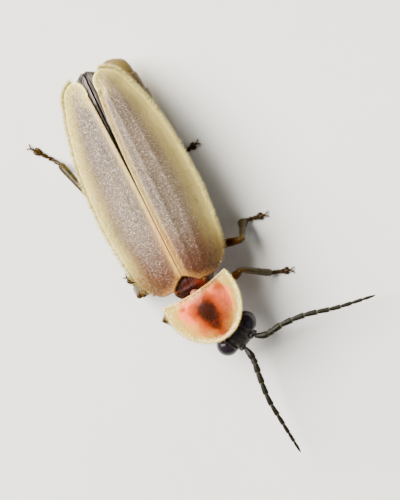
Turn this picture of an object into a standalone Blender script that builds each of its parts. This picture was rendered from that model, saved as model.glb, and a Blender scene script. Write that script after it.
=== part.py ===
# A firefly, Photinus, at life size: 13 mm from the front of the head to the tips of the wing cases.
# X points to the animal's left, Y to its tail and Z up. It stands on its six feet on the plane z = 0.
# In the body's own frame y = 0 is the hind edge of the neck shield and x = 0 the seam of the wing cases.
import math

import bmesh
import bpy
import numpy as np
from mathutils import Matrix, Vector

MM = 0.001  # every size below is in millimetres
GAP = 0.12  # between pieces that meet
WELD = 1e-7

# Wing cases (elytra): (y, half width) down the outer edge, (y, half gap) down the seam, (y, height) on top
CASE_OUTER = ((0.2, 1.5), (0.9, 1.92), (2.2, 2.15), (4.1, 2.26), (6.4, 2.1), (8.0, 1.78), (9.0, 1.45))
CASE_SEAM = ((0.5, 0.06), (4.2, 0.06), (6.5, 0.1), (8.2, 0.16), (9.0, 0.22))
CASE_TOP = ((0.2, 3.12), (1.5, 3.27), (3.5, 3.3), (6.5, 3.2), (8.3, 3.0), (9.8, 2.72))
CASE_BEND_Y, CASE_TIP_Y, CASE_TIP_X = 9.0, 9.76, 0.66  # where the round tip starts and ends
CASE_FRONT_Y, CASE_CORNER, CASE_CORNER_AT = 0.2, 0.55, 0.42  # the front edge, its step at the scutellum
CASE_SHOULDER, CASE_SHOULDER_AT = 0.3, 0.72
CASE_THICK, CASE_DROP, CASE_TIP_DROP = 0.5, 0.92, 0.5
CASE_RIB, CASE_RIB_AT = 0.05, (0.3, 0.56)  # height of the long ribs, and where across they lie

# Hind wings, folded flat under the cases
WING_THICK, WING_START_Y, WING_TIP_Y, WING_HALF = 0.42, 0.95, 9.92, 1.3
WING_VEIN, WING_VEIN_AT = 0.05, (0.28, 0.6)

# Neck shield (pronotum), prothorax and head, which turn to the animal's left one after the other
SHIELD_AT, SHIELD_YAW = (0.08, 0.0), math.radians(6.5)
SHIELD_LONG, SHIELD_HALF, SHIELD_CORNER, SHIELD_WIDEST = 2.43, 1.61, 1.5, 0.55
SHIELD_RIM_Z, SHIELD_DOME, SHIELD_THICK = 2.6, 0.42, 0.36
NECK_AT, HEAD_YAW, EYE_LINE_Y, HEAD_Z = (-0.11, -1.34), math.radians(19.4), -1.24, 1.57
HEAD_HALF_WIDTH, HEAD_HALF_LONG, HEAD_HALF_HIGH = 0.74, 0.6, 0.46
EYE_X, EYE_RADIUS = 0.6, 0.465

# Scutellum, the small triangle between shield and cases: (y, half width, middle height, half height)
SCUTELLUM = ((0.14, 0.46, 2.86, 0.16), (0.24, 0.46, 2.87, 0.19), (0.36, 0.35, 2.87, 0.2),
             (0.5, 0.21, 2.86, 0.19), (0.62, 0.1, 2.85, 0.14))

# Thorax and abdomen: (y, half width, middle height, half height)
THORAX = ((0.2, 0.86, 1.7, 0.44), (0.9, 1.28, 1.56, 0.5), (2.0, 1.42, 1.52, 0.5), (2.8, 1.34, 1.48, 0.5),
          (3.28, 1.02, 1.42, 0.48))
PROTHORAX = ((-0.02, 0.8, 1.75, 0.5), (-0.7, 0.86, 1.68, 0.6), (-1.4, 0.7, 1.66, 0.5),
             (-1.8, 0.45, 1.62, 0.34))
ABDOMEN = ((3.4, 1.0, 1.26, 0.5), (4.1, 1.25, 1.25, 0.56), (4.9, 1.62, 1.24, 0.58),
           (6.2, 1.76, 1.22, 0.58), (8.0, 1.46, 1.18, 0.52), (9.25, 0.98, 1.12, 0.4),
           (9.68, 0.74, 1.08, 0.32), (9.92, 0.42, 1.05, 0.2))
ABDOMEN_LEAN = 0.85  # how far the tail's end leans to the left
SEGMENTS, LANTERN_FROM = 8, 5  # of the abdomen, and the first that glows

# Antennae: points along each, and the length of its eleven segments as shares
ANTENNA = {
    "antenna_right": ((0.74, -3.14, 1.66), (0.84, -3.72, 1.72), (0.74, -4.5, 1.68), (0.64, -5.5, 1.6),
                      (0.7, -6.6, 1.48), (0.8, -8.04, 1.3)),
    "antenna_left": ((1.3, -2.87, 1.66), (1.8, -3.04, 1.74), (2.6, -2.96, 1.72), (3.6, -3.03, 1.64),
                     (4.9, -3.34, 1.5), (6.52, -3.59, 1.32)),
}
ANTENNA_SHARES = (1.3, 0.4, 0.9, 1.05, 1.1, 1.1, 1.05, 1.0, 0.9, 0.95, 1.15)
ANTENNA_THICK, ANTENNA_TIP_THICK = 0.42, 0.24

# Legs: where each leaves the body, its knee, its ankle and the end of its foot
LEGS = {
    "leg_front_left": ((0.55, -0.62, 0.78), (2.04, -0.2, 1.52), (2.89, -0.88, 0.3), (3.62, -1.13, 0.0)),
    "leg_front_right": ((-0.42, -0.78, 0.78), (-1.86, -0.62, 1.4), (-1.4, -1.25, 0.3), (-1.02, -1.98, 0.0)),
    "leg_middle_left": ((0.78, 1.3, 0.66), (2.66, 0.9, 1.68), (2.78, 1.56, 0.3), (3.7, 1.39, 0.0)),
    "leg_middle_right": ((-0.78, 1.3, 0.66), (-2.24, 0.7, 1.56), (-2.42, 1.08, 0.3), (-2.72, 1.62, 0.0)),
    "leg_hind_left": ((0.85, 2.9, 0.64), (2.1, 3.9, 1.5), (1.62, 5.14, 0.3), (2.47, 5.3, 0.0)),
    "leg_hind_right": ((-0.85, 2.9, 0.64), (-2.15, 4.8, 1.5), (-3.06, 7.08, 0.3), (-3.93, 8.24, 0.0)),
}
COXA_THICK, FEMUR_THICK, TIBIA_THICK, TARSUS_THICK, CLAW_THICK = 0.52, 0.5, 0.42, 0.34, 0.14
TOES = 5  # small segments of a foot
COXA_RISE = {"front": 0.32, "middle": 0.3, "hind": 0.24}  # from the hip up towards the body

# Colours are RGB for a Principled shader, then roughness
FINISH = {
    "wing_case": ((0.33, 0.27, 0.22), 0.5),
    "hind_wing": ((0.12, 0.1, 0.1), 0.4),
    "shield": ((0.72, 0.55, 0.32), 0.45),
    "scutellum": ((0.12, 0.03, 0.015), 0.35),
    "black": ((0.012, 0.01, 0.009), 0.3),
    "leg": ((0.05, 0.025, 0.01), 0.4),
    "body": ((0.3, 0.2, 0.11), 0.5),
    "lantern": ((0.75, 0.7, 0.45), 0.5),
}


# Empties the file and returns the collection the firefly goes in
def fresh_collection():
    for thing in list(bpy.data.objects):
        bpy.data.objects.remove(thing, do_unlink=True)
    firefly = bpy.data.collections.new("firefly")
    bpy.context.scene.collection.children.link(firefly)
    return firefly


# A material with the colour and roughness named in FINISH
def finish(kind):
    made = bpy.data.materials.get(kind)
    if made is None:
        colour, roughness = FINISH[kind]
        made = bpy.data.materials.new(kind)
        made.use_nodes = True
        shader = made.node_tree.nodes["Principled BSDF"]
        shader.inputs["Base Color"].default_value = (*colour, 1)
        shader.inputs["Roughness"].default_value = roughness
        made.diffuse_color = (*colour, 1)
    return made


# A mesh object from points in millimetres
def mesh_object(name, points, faces, kind):
    mesh = bpy.data.meshes.new(name)
    mesh.from_pydata([tuple(c * MM for c in p) for p in points], [], faces)
    mesh.validate()
    shape = bpy.data.objects.new(name, mesh)
    firefly.objects.link(shape)
    mesh.materials.append(finish(kind))
    mesh.shade_smooth()
    return shape


# A smooth line through the points, by the Catmull-Rom rule, with count points for each stretch
def smooth_line(points, count):
    p = np.array(points, float)
    p = np.vstack([2 * p[0] - p[1], p, 2 * p[-1] - p[-2]])
    line = []
    for a, b, c, d in zip(p, p[1:], p[2:], p[3:]):
        for t in np.linspace(0, 1, count, endpoint=False):
            line.append(0.5 * (2 * b + (c - a) * t + (2 * a - 5 * b + 4 * c - d) * t**2
                               + (3 * b - a - 3 * c + d) * t**3))
    line.append(p[-2])
    return np.array(line)


# The value at y on a smooth line through (y, value, ...) stations, which may run either way
def profile(stations, y):
    line = smooth_line(stations, 12)
    line = line[np.argsort(line[:, 0])]
    return [float(np.interp(y, line[:, 0], line[:, k])) for k in range(1, line.shape[1])]


# A closed skin over rings of points, each end closed by a face
def loft(name, rings, kind):
    count = len(rings[0])
    points = [tuple(p) for ring in rings for p in ring]
    faces = []
    for r in range(len(rings) - 1):
        for k in range(count):
            n = (k + 1) % count
            faces.append((r * count + k, r * count + n, (r + 1) * count + n, (r + 1) * count + k))
    faces.append(tuple(reversed(range(count))))
    faces.append(tuple((len(rings) - 1) * count + k for k in range(count)))
    return face_out(mesh_object(name, points, faces, kind))


# Turns a closed mesh's faces outwards
def face_out(shape):
    edit = bmesh.new()
    edit.from_mesh(shape.data)
    bmesh.ops.recalc_face_normals(edit, faces=edit.faces)
    if edit.calc_volume(signed=True) < 0:
        bmesh.ops.reverse_faces(edit, faces=edit.faces)
    edit.to_mesh(shape.data)
    edit.free()
    return shape


# A rounded section across the body: x = a |cos|^(2/power), z = b |sin|^(2/power), flatter below
def section(y, x, half_width, z, half_high, sides, power=2.3):
    points = []
    for k in range(sides):
        turn = 2 * math.pi * (k + 0.5) / sides
        c, s = math.cos(turn), math.sin(turn)
        across = math.copysign(abs(c) ** (2 / power), c) * half_width
        up = math.copysign(abs(s) ** (2 / power), s) * half_high
        points.append((x + across, y, z + up))
    return points


# An open surface on a grid of rows and columns, given its thickness downwards by Solidify
def shell(name, grid, thickness, kind):
    rows, columns = len(grid), len(grid[0])
    points = [p for row in grid for p in row]
    faces = [(r * columns + k, r * columns + k + 1, (r + 1) * columns + k + 1, (r + 1) * columns + k)
             for r in range(rows - 1) for k in range(columns - 1)]
    shape = mesh_object(name, points, faces, kind)
    edit = bmesh.new()
    edit.from_mesh(shape.data)
    bmesh.ops.recalc_face_normals(edit, faces=edit.faces)
    if sum(f.normal.z for f in edit.faces) < 0:
        bmesh.ops.reverse_faces(edit, faces=edit.faces)
    edit.to_mesh(shape.data)
    edit.free()
    solid = shape.modifiers.new("thickness", "SOLIDIFY")
    solid.thickness = thickness * MM
    solid.offset = -1
    solid.use_quality_normals = True
    return shape


# A tube through the points with a radius at each, as a curve with a round bevel and closed ends
def tube(name, points, radii, kind):
    line = bpy.data.curves.new(name, "CURVE")
    line.dimensions = "3D"
    line.bevel_depth = MM
    line.bevel_resolution = 2
    line.use_fill_caps = True
    spline = line.splines.new("POLY")
    spline.points.add(len(points) - 1)
    for spot, place, radius in zip(spline.points, points, radii):
        spot.co = (*(c * MM for c in place), 1)
        spot.radius = radius
    shape = bpy.data.objects.new(name, line)
    firefly.objects.link(shape)
    line.materials.append(finish(kind))
    return shape


# The same tube as a closed mesh, for a union
def solid_tube(name, points, radii, kind):
    shape = tube(name, points, radii, kind)
    bpy.context.view_layer.update()
    seen = shape.evaluated_get(bpy.context.evaluated_depsgraph_get())
    mesh = bpy.data.meshes.new_from_object(seen)
    edit = bmesh.new()
    edit.from_mesh(mesh)
    bmesh.ops.remove_doubles(edit, verts=edit.verts, dist=WELD)
    edit.to_mesh(mesh)
    edit.free()
    place = shape.matrix_world.copy()
    bpy.data.objects.remove(shape, do_unlink=True)
    solid = bpy.data.objects.new(name, mesh)
    solid.matrix_world = place
    firefly.objects.link(solid)
    return face_out(solid)


# Applies the Boolean of a shape with a collection of others, and removes those
def combine(shape, others, operation, solver="EXACT"):
    pieces = bpy.data.collections.new("pieces")
    bpy.context.scene.collection.children.link(pieces)
    for other in others:
        pieces.objects.link(other)
    joint = shape.modifiers.new("combine", "BOOLEAN")
    joint.operation = operation
    joint.operand_type = "COLLECTION"
    joint.collection = pieces
    joint.solver = solver
    bpy.context.view_layer.update()
    seen = shape.evaluated_get(bpy.context.evaluated_depsgraph_get())
    mesh = bpy.data.meshes.new_from_object(seen)
    shape.modifiers.remove(joint)
    shape.data = mesh
    for other in others:
        bpy.data.objects.remove(other, do_unlink=True)
    bpy.data.collections.remove(pieces)
    keep_largest(shape)
    return shape


# Keeps only the largest closed surface of a mesh
def keep_largest(shape):
    edit = bmesh.new()
    edit.from_mesh(shape.data)
    bmesh.ops.remove_doubles(edit, verts=edit.verts, dist=WELD)
    left = set(edit.faces)
    groups = []
    while left:
        group, reach = set(), [left.pop()]
        while reach:
            face = reach.pop()
            group.add(face)
            for edge in face.edges:
                for near in edge.link_faces:
                    if near in left:
                        left.remove(near)
                        reach.append(near)
        groups.append(group)
    groups.sort(key=lambda group: sum(f.calc_area() for f in group))
    drop = [face for group in groups[:-1] for face in group]
    bmesh.ops.delete(edit, geom=drop, context="FACES")
    edit.to_mesh(shape.data)
    edit.free()
    for face in shape.data.polygons:
        face.material_index = 0


# Height of a wing case over the floor at (x, y), without its ribs
def case_height(x, y):
    top = profile(CASE_TOP, y)[0]
    across = min(abs(x) / profile(CASE_OUTER, min(y, CASE_BEND_Y))[0], 1)
    late = max(0.0, (y - CASE_BEND_Y + 1.5) / (CASE_TIP_Y - CASE_BEND_Y + 1.5))
    drop = CASE_DROP + (CASE_TIP_DROP - CASE_DROP) * late
    return top - drop * across**2.3


# The inner and outer edge of a wing case at a row: straight rows, then an elliptical tip
def case_rows():
    rows = []
    for y in np.linspace(CASE_FRONT_Y, CASE_BEND_Y, 13):
        rows.append((y, profile(CASE_SEAM, y)[0], profile(CASE_OUTER, y)[0]))
    _, inner, outer = rows[-1]
    middle, half = (inner + outer) / 2, (outer - inner) / 2
    for turn in (22, 42, 60, 76):
        share = math.sin(math.radians(turn))
        centre = middle + (CASE_TIP_X - middle) * share
        reach = half * math.cos(math.radians(turn))
        rows.append((CASE_BEND_Y + (CASE_TIP_Y - CASE_BEND_Y) * share, centre - reach, centre + reach))
    return rows


# How much a rib stands up at share v across, a rounded ridge that fades towards both ends
def ridge(v, along, places, height):
    swell = sum(math.exp(-(((v - at) / 0.06) ** 2)) for at in places)
    return height * swell * math.sin(math.pi * min(max(along, 0), 1)) ** 0.5


# One wing case: side is 1 on the left and -1 on the right
def wing_case(name, side):
    across = (0, 0.1, 0.2, 0.3, 0.43, 0.56, 0.7, 0.85, 1)
    grid = []
    for y, inner, outer in case_rows():
        row = []
        for v in across:
            x = inner + (outer - inner) * v
            # The front corner steps back round the scutellum, and the shoulder is rounded
            back = CASE_CORNER * max(0, 1 - v / CASE_CORNER_AT) ** 1.1
            back += CASE_SHOULDER * max(0, (v - CASE_SHOULDER_AT) / (1 - CASE_SHOULDER_AT)) ** 2
            place = y + back * max(0, 1 - (y - CASE_FRONT_Y) / 2.4) ** 2
            along = (place - CASE_FRONT_Y) / (CASE_TIP_Y - CASE_FRONT_Y)
            z = case_height(x, place) + ridge(v, along, CASE_RIB_AT, CASE_RIB)
            row.append((side * x, place, z))
        grid.append(row)
    return shell(name, grid, CASE_THICK, "wing_case")


# One folded hind wing, which follows the underside of its case
def hind_wing(name, side):
    grid = []
    for y in np.linspace(WING_START_Y, WING_TIP_Y, 16):
        share = (y - WING_START_Y) / (WING_TIP_Y - WING_START_Y)
        round_end = max(0.0, 1 - max(0, (share - 0.72) / 0.28) ** 2.2) ** 0.6
        outer = WING_HALF * min(1, 0.66 + 1.6 * share) * round_end
        outer = max(outer, 0.3)
        row = []
        for v in (0, 0.14, 0.28, 0.44, 0.6, 0.8, 1):
            x = 0.06 + (outer - 0.06) * v
            z = case_height(x, min(y, CASE_TIP_Y)) - CASE_THICK - GAP - CASE_RIB
            row.append((side * x, y, z + ridge(v, share, WING_VEIN_AT, WING_VEIN)))
        grid.append(row)
    return shell(name, grid, WING_THICK, "hind_wing")


# Half width of the neck shield at a distance ahead of its hind edge
def shield_half(ahead):
    if ahead < SHIELD_WIDEST:
        return SHIELD_HALF - (SHIELD_HALF - SHIELD_CORNER) * (1 - ahead / SHIELD_WIDEST) ** 2
    share = (ahead - SHIELD_WIDEST) / (SHIELD_LONG - SHIELD_WIDEST)
    return SHIELD_HALF * math.sqrt(max(0.0, 1 - share**2))


# Height of the neck shield: a flat rim with a dome over the body
def shield_height(across, ahead):
    dome = max(0.0, 1 - (across / 1.12) ** 2 - ((ahead - 0.7) / 1.6) ** 2) ** 1.2
    return SHIELD_RIM_Z - 0.1 * (ahead / SHIELD_LONG) ** 2 + SHIELD_DOME * dome


# The neck shield, turned with its empty
def neck_shield(turned):
    rows = list(np.linspace(0, SHIELD_WIDEST, 4))
    rows += [SHIELD_WIDEST + (SHIELD_LONG - SHIELD_WIDEST) * math.sin(math.radians(a))
             for a in (12, 24, 36, 48, 60, 72, 83)]
    grid = []
    for ahead in rows:
        half = shield_half(ahead)
        row = []
        for v in (-1, -0.84, -0.66, -0.48, -0.3, -0.1, 0.1, 0.3, 0.48, 0.66, 0.84, 1):
            hollow = 0.06 * (1 - v**2) * max(0, 1 - ahead / 0.8)
            row.append((v * half, -ahead - hollow, shield_height(v * half, ahead)))
        grid.append(row)
    shape = shell("pronotum", grid, SHIELD_THICK, "shield")
    shape.parent = turned
    return shape


# A soft trunk piece from its stations, with the given rows
def trunk(name, stations, rows, sides, kind, lean=None):
    rings = []
    for y in rows:
        half_width, z, half_high = profile(stations, y)
        rings.append(section(y, lean(y) if lean else 0.0, half_width, z, half_high, sides))
    return loft(name, rings, kind)


# Part of the abdomen: each segment swells to its hind edge and steps in to the next
def abdomen_part(name, first, last, kind):
    start, end = ABDOMEN[0][0], ABDOMEN[-1][0]
    long = (end - start) / SEGMENTS
    rings = []
    for number in range(first, last):
        for share, swell in ((0.03, 0.955), (0.45, 0.995), (0.9, 1.03)):
            y = start + long * (number + share)
            half_width, z, half_high = profile(ABDOMEN, y)
            lean = ABDOMEN_LEAN * max(0.0, (y - 5.0) / 5.0) ** 1.5
            rings.append(section(y, lean, half_width * swell, z, half_high * swell, 16, 2.2))
    if last == SEGMENTS:
        y, (half_width, z, half_high) = end + 0.08, profile(ABDOMEN, end)
        rings.append(section(y, ABDOMEN_LEAN, half_width * 0.55, z, half_high * 0.5, 16, 2.2))
    return loft(name, rings, kind)


# The head, with a hollow round each eye
def head(turned):
    bpy.ops.mesh.primitive_uv_sphere_add(segments=20, ring_count=12, radius=1)
    shape = bpy.context.object
    shape.name = "head"
    for vertex in shape.data.vertices:
        x, y, z = vertex.co
        brow = 1 - 0.12 * max(0, -y)
        vertex.co = (x * HEAD_HALF_WIDTH * brow * MM, (y * HEAD_HALF_LONG + EYE_LINE_Y) * MM,
                     (z * HEAD_HALF_HIGH + HEAD_Z) * MM)
    into_firefly(shape, "black")
    hollows = [eye_ball("hollow", side, EYE_RADIUS + GAP, 16, 10) for side in (1, -1)]
    combine(shape, hollows, "DIFFERENCE")
    shape.data.shade_smooth()
    shape.parent = turned
    return shape


# Moves a primitive into the firefly's collection and gives it its material
def into_firefly(shape, kind):
    for collection in list(shape.users_collection):
        collection.objects.unlink(shape)
    firefly.objects.link(shape)
    shape.data.materials.clear()
    shape.data.materials.append(finish(kind))
    shape.data.shade_smooth()


# A ball at one eye's place, also used to hollow the head for it
def eye_ball(name, side, radius, segments, rings):
    bpy.ops.mesh.primitive_uv_sphere_add(segments=segments, ring_count=rings, radius=radius * MM)
    ball = bpy.context.object
    ball.name = name
    ball.data.transform(matrix_at(side * EYE_X, EYE_LINE_Y, HEAD_Z))
    into_firefly(ball, "black")
    return ball


# A move, as a matrix, from millimetres
def matrix_at(x, y, z):
    return Matrix.Translation(Vector((x, y, z)) * MM)


# The mouth, tucked under the head: a lip, two curved jaws and two palps, fused
def mouthparts(turned):
    y, z = EYE_LINE_Y, HEAD_Z
    lip_shape = ((0.5, 0.12, 0.44, 0.06), (0.42, 0.24, 0.5, 0.1), (0.26, 0.28, 0.58, 0.11),
                 (0.16, 0.2, 0.63, 0.08))
    lip_rings = [section(y - ahead, 0, half, z - low, thick, 10) for ahead, half, low, thick in lip_shape]
    lip = loft("mouthparts", lip_rings, "black")
    others = []
    for side in (1, -1):
        jaw = [(side * 0.17, y - 0.32, z - 0.55), (side * 0.2, y - 0.44, z - 0.58),
               (side * 0.13, y - 0.53, z - 0.61), (side * 0.05, y - 0.57, z - 0.63)]
        others.append(solid_tube("jaw", jaw, (0.09, 0.08, 0.055, 0.025), "black"))
        palp = [(side * 0.2, y - 0.26, z - 0.6), (side * 0.33, y - 0.36, z - 0.68),
                (side * 0.38, y - 0.46, z - 0.82), (side * 0.36, y - 0.54, z - 0.98)]
        palp_radii = (0.07, 0.08, 0.07, 0.08, 0.07, 0.09, 0.04)
        others.append(solid_tube("palp", smooth_line(palp, 2), palp_radii, "black"))
    combine(lip, others, "UNION")
    lip.parent = turned
    return lip


# One antenna: a tube through eleven segments, each narrow at its root and widest near its end
def antenna(name, points):
    line = smooth_line(points, 16)
    steps = np.concatenate([[0], np.cumsum(np.linalg.norm(np.diff(line, axis=0), axis=1))])
    shares = np.cumsum((0,) + ANTENNA_SHARES) / sum(ANTENNA_SHARES) * steps[-1]
    places, radii = [], []
    for number, (start, end) in enumerate(zip(shares, shares[1:])):
        thick = ANTENNA_THICK + (ANTENNA_TIP_THICK - ANTENNA_THICK) * (number / 10) ** 1.3
        wide = ((0.0, 0.6), (0.3, 0.92), (0.82, 1.0))
        if number == 10:
            wide = ((0.0, 0.6), (0.3, 0.95), (0.7, 0.8), (1.0, 0.3))
        for share, swell in wide:
            at = start + (end - start) * share
            places.append([float(np.interp(at, steps, line[:, k])) for k in range(3)])
            radii.append(thick / 2 * swell)
    return tube(name, places, radii, "black")


# A foot: small segments along the line from ankle to claws, lying on the floor, with a split pad
def foot(ankle, tip):
    ankle, tip = np.array(ankle), np.array(tip)
    places, radii = [], []
    for number in range(TOES):
        wide = (0.92, 0.88, 0.9, 1.12, 0.62)[number]
        for share, swell in ((0.08, 0.7), (0.8, 1.0)):
            t = (number + share) / TOES
            place = ankle + (tip - ankle) * t
            radius = TARSUS_THICK / 2 * wide * swell
            place[2] = max(ankle[2] * (1 - 2.2 * t) - 0.06, radius * 0.72)
            places.append(tuple(place))
            radii.append(radius)
    return places, radii


# One leg: coxa, femur, tibia, foot and two claws, fused, with the sole cut flat at the floor
def leg(name, hip, knee, ankle, tip):
    hip, knee, ankle, tip = (np.array(p, float) for p in (hip, knee, ankle, tip))
    rise = COXA_RISE[name.split("_")[1]]
    inward = np.array([-0.22 * math.copysign(1, hip[0]), 0, 0])
    top = hip + inward + (0, 0, rise)
    coxa = solid_tube(name, [top, hip + inward * 0.6 + (0, 0, rise * 0.4), hip, hip + (knee - hip) * 0.12],
                      (COXA_THICK * 0.46, COXA_THICK * 0.52, COXA_THICK * 0.46, COXA_THICK * 0.3), "leg")
    femur = [hip + (knee - hip) * t for t in (0, 0.12, 0.35, 0.65, 0.9, 1.0, 1.06)]
    femur_radii = [FEMUR_THICK / 2 * s for s in (0.6, 0.85, 1.0, 0.98, 0.86, 0.72, 0.4)]
    tibia = [knee + (ankle - knee) * t for t in (-0.08, 0.03, 0.3, 0.7, 0.96, 1.04)]
    tibia_radii = [TIBIA_THICK / 2 * s for s in (0.5, 0.82, 0.9, 0.98, 1.05, 0.7)]
    toes, toe_radii = foot(ankle, tip)
    parts = [solid_tube("femur", femur, femur_radii, "leg"), solid_tube("tibia", tibia, tibia_radii, "leg"),
             solid_tube("foot", toes, toe_radii, "leg")]
    ahead = tip - ankle
    ahead = ahead / np.linalg.norm(ahead[:2])
    aside = np.array([-ahead[1], ahead[0], 0])
    for side in (1, -1):
        start = np.array(toes[-1]) - ahead * (0.05, 0.05, 0)
        claw = [start, start + (ahead * 0.12 + aside * side * 0.07) * (1, 1, 0),
                start + (ahead * 0.2 + aside * side * 0.12) * (1, 1, 0) - (0, 0, 0.03)]
        parts.append(solid_tube("claw", claw, (CLAW_THICK / 2, CLAW_THICK / 2, CLAW_THICK * 0.2), "leg"))
    combine(coxa, parts, "UNION")
    combine(coxa, [floor_cutter()], "DIFFERENCE")
    coxa.data.shade_smooth()
    return coxa


# A block whose top is the floor, to cut the soles flat
def floor_cutter():
    bpy.ops.mesh.primitive_cube_add(size=1)
    block = bpy.context.object
    for vertex in block.data.vertices:
        vertex.co = (vertex.co.x * 30 * MM, vertex.co.y * 40 * MM, (vertex.co.z - 0.5) * 2 * MM)
    into_firefly(block, "leg")
    return block


# An empty that a group of pieces turns with
def turning_empty(name, x, y, yaw, parent=None):
    empty = bpy.data.objects.new(name, None)
    bpy.context.scene.collection.objects.link(empty)
    empty.location = (x * MM, y * MM, 0)
    empty.rotation_euler = (0, 0, yaw)
    empty.parent = parent
    return empty


# Moves the whole firefly so that the origin is under the middle of its box, at the floor
def stand_on_origin(base):
    bpy.context.view_layer.update()
    graph = bpy.context.evaluated_depsgraph_get()
    low, high = np.full(3, np.inf), np.full(3, -np.inf)
    for shape in firefly.objects:
        seen = shape.evaluated_get(graph)
        mesh = seen.to_mesh()
        places = np.array([tuple(shape.matrix_world @ v.co) for v in mesh.vertices])
        low, high = np.minimum(low, places.min(0)), np.maximum(high, places.max(0))
        seen.to_mesh_clear()
    base.location = (-(low[0] + high[0]) / 2, -(low[1] + high[1]) / 2, -low[2])


def build():
    shield_turn = turning_empty("shield_turn", *SHIELD_AT, SHIELD_YAW)
    head_turn = turning_empty("head_turn", *NECK_AT, HEAD_YAW, shield_turn)
    neck_shield(shield_turn)
    trunk("prothorax", PROTHORAX, (-0.02, -0.3, -0.7, -1.1, -1.45, -1.8), 16, "body").parent = shield_turn
    head(head_turn)
    for name, side in (("eye_left", 1), ("eye_right", -1)):
        eye_ball(name, side, EYE_RADIUS, 16, 10).parent = head_turn
    mouthparts(head_turn)
    for name, points in ANTENNA.items():
        antenna(name, points)
    trunk("scutellum", SCUTELLUM, [station[0] for station in SCUTELLUM], 12, "scutellum")
    trunk("thorax", THORAX, (0.2, 0.5, 1.0, 1.6, 2.2, 2.8, 3.1, 3.28), 18, "body")
    abdomen_part("abdomen", 0, LANTERN_FROM, "body")
    abdomen_part("lantern", LANTERN_FROM, SEGMENTS, "lantern")
    for name, side in (("left", 1), ("right", -1)):
        wing_case("elytron_" + name, side)
        hind_wing("hind_wing_" + name, side)
    for name, places in LEGS.items():
        leg(name, *places)
    base = turning_empty("firefly_base", 0, 0, 0)
    for shape in [*firefly.objects, shield_turn]:
        if shape.parent is None:
            shape.parent = base
    stand_on_origin(base)
    bpy.context.view_layer.update()


firefly = fresh_collection()
build()
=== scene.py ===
import math

import bpy
import numpy as np
from mathutils import Matrix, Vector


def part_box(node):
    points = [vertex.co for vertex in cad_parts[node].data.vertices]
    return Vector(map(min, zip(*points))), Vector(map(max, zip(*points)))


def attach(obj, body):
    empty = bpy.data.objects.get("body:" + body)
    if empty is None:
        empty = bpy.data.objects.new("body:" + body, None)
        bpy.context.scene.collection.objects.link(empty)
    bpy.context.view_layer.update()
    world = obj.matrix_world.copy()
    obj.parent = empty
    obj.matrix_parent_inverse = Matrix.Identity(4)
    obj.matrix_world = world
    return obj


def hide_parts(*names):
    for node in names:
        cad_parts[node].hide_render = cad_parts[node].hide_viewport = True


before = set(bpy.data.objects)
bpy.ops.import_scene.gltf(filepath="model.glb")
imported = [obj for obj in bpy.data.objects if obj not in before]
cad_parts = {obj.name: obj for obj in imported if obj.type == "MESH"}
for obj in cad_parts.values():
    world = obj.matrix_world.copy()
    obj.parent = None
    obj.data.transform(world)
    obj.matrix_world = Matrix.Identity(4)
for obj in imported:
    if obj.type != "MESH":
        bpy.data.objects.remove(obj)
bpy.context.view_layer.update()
print("frame loaded")

mm = 0.001
# Shapes are worked out in millimetres in the body's own frame: x to the animal's left, y to its tail, z up,
# with y = 0 at the hind edge of the neck shield and x = 0 on the seam of the wing cases
thoraxLow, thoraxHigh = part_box("thorax")
bodyOrigin = np.array([(thoraxLow.x + thoraxHigh.x) / 2, thoraxLow.y - 0.2 * mm, 0.0])
rng = np.random.default_rng(11)
bothSides = (("left", 1), ("right", -1))
upright = (0, 0, 1.0)


# A shader colour from screen values of 0 to 255: below 0.04 divided by 12.92, above it a power of 2.4
def tone(red, green, blue):
    c = np.array([red, green, blue]) / 255
    c = np.where(c <= 0.04045, c / 12.92, ((c + 0.055) / 1.055) ** 2.4)
    return (*c.tolist(), 1.0)


# From 0 to 1 as the value goes from start to end, by t t (3 - 2 t)
def fade(value, start, end):
    t = np.clip((value - start) / (end - start), 0, 1)
    return t * t * (3 - 2 * t)


# A bell round a place: e to the minus square of the distance in widths
def bell(value, place, width):
    return np.exp(-(((value - place) / width) ** 2))


# A soft oval mark: 1 inside, fading to 0 between (1 - soft) and (1 + soft) of its two radii
def oval(x, y, centre, radii, soft):
    reach = np.hypot((x - centre[0]) / radii[0], (y - centre[1]) / radii[1])
    return 1 - fade(reach, 1 - soft, 1 + soft)


# Smooth unevenness of about -1 to 1: the mean of six plane waves of the given wavelength
def ripple(x, y, wavelength, seed):
    waves = np.random.default_rng(seed)
    total = 0
    for turn, phase, stretch in zip(waves.random(6) * 6.28, waves.random(6) * 6.28, waves.uniform(0.7, 1.5, 6)):
        total = total + np.sin((x * math.cos(turn) + y * math.sin(turn)) * 6.28 / (wavelength * stretch) + phase)
    return total / 3


def unit(v):
    return v / np.maximum(np.linalg.norm(v, axis=-1, keepdims=True), 1e-12)


# A smooth line through points, for every stretch at once: a cubic whose slope at a point is half the step
# between the two points beside it
def smoothLine(points, count=16):
    p = np.array(points, float)
    p = np.vstack([2 * p[0] - p[1], p, 2 * p[-1] - p[-2]])
    a, b, c, d = (p[k:len(p) - 3 + k, None] for k in range(4))
    t = (np.arange(count) / count)[:, None]
    line = 0.5 * (2 * b + (c - a) * t + (2 * a - 5 * b + 4 * c - d) * t**2 + (3 * b - a - 3 * c + d) * t**3)
    return np.vstack([line.reshape(-1, p.shape[1]), p[-2]])


# Values at y on the smooth line through (y, value, ...) stations, one array for each value
def profileAt(stations, y):
    line = smoothLine(stations)
    line = line[np.argsort(line[:, 0])]
    return [np.interp(y, line[:, 0], line[:, k]) for k in range(1, line.shape[1])]


# How far each point of a line is from its start, along the line
def stepsOf(line):
    return np.append(0, np.cumsum(np.linalg.norm(np.diff(line, axis=0), axis=1)))


# Points at shares of the length of a smooth line
def alongLine(points, shares):
    line = smoothLine(points)
    steps = stepsOf(line)
    return np.stack([np.interp(np.asarray(shares) * steps[-1], steps, line[:, k]) for k in range(3)], -1)


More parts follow.
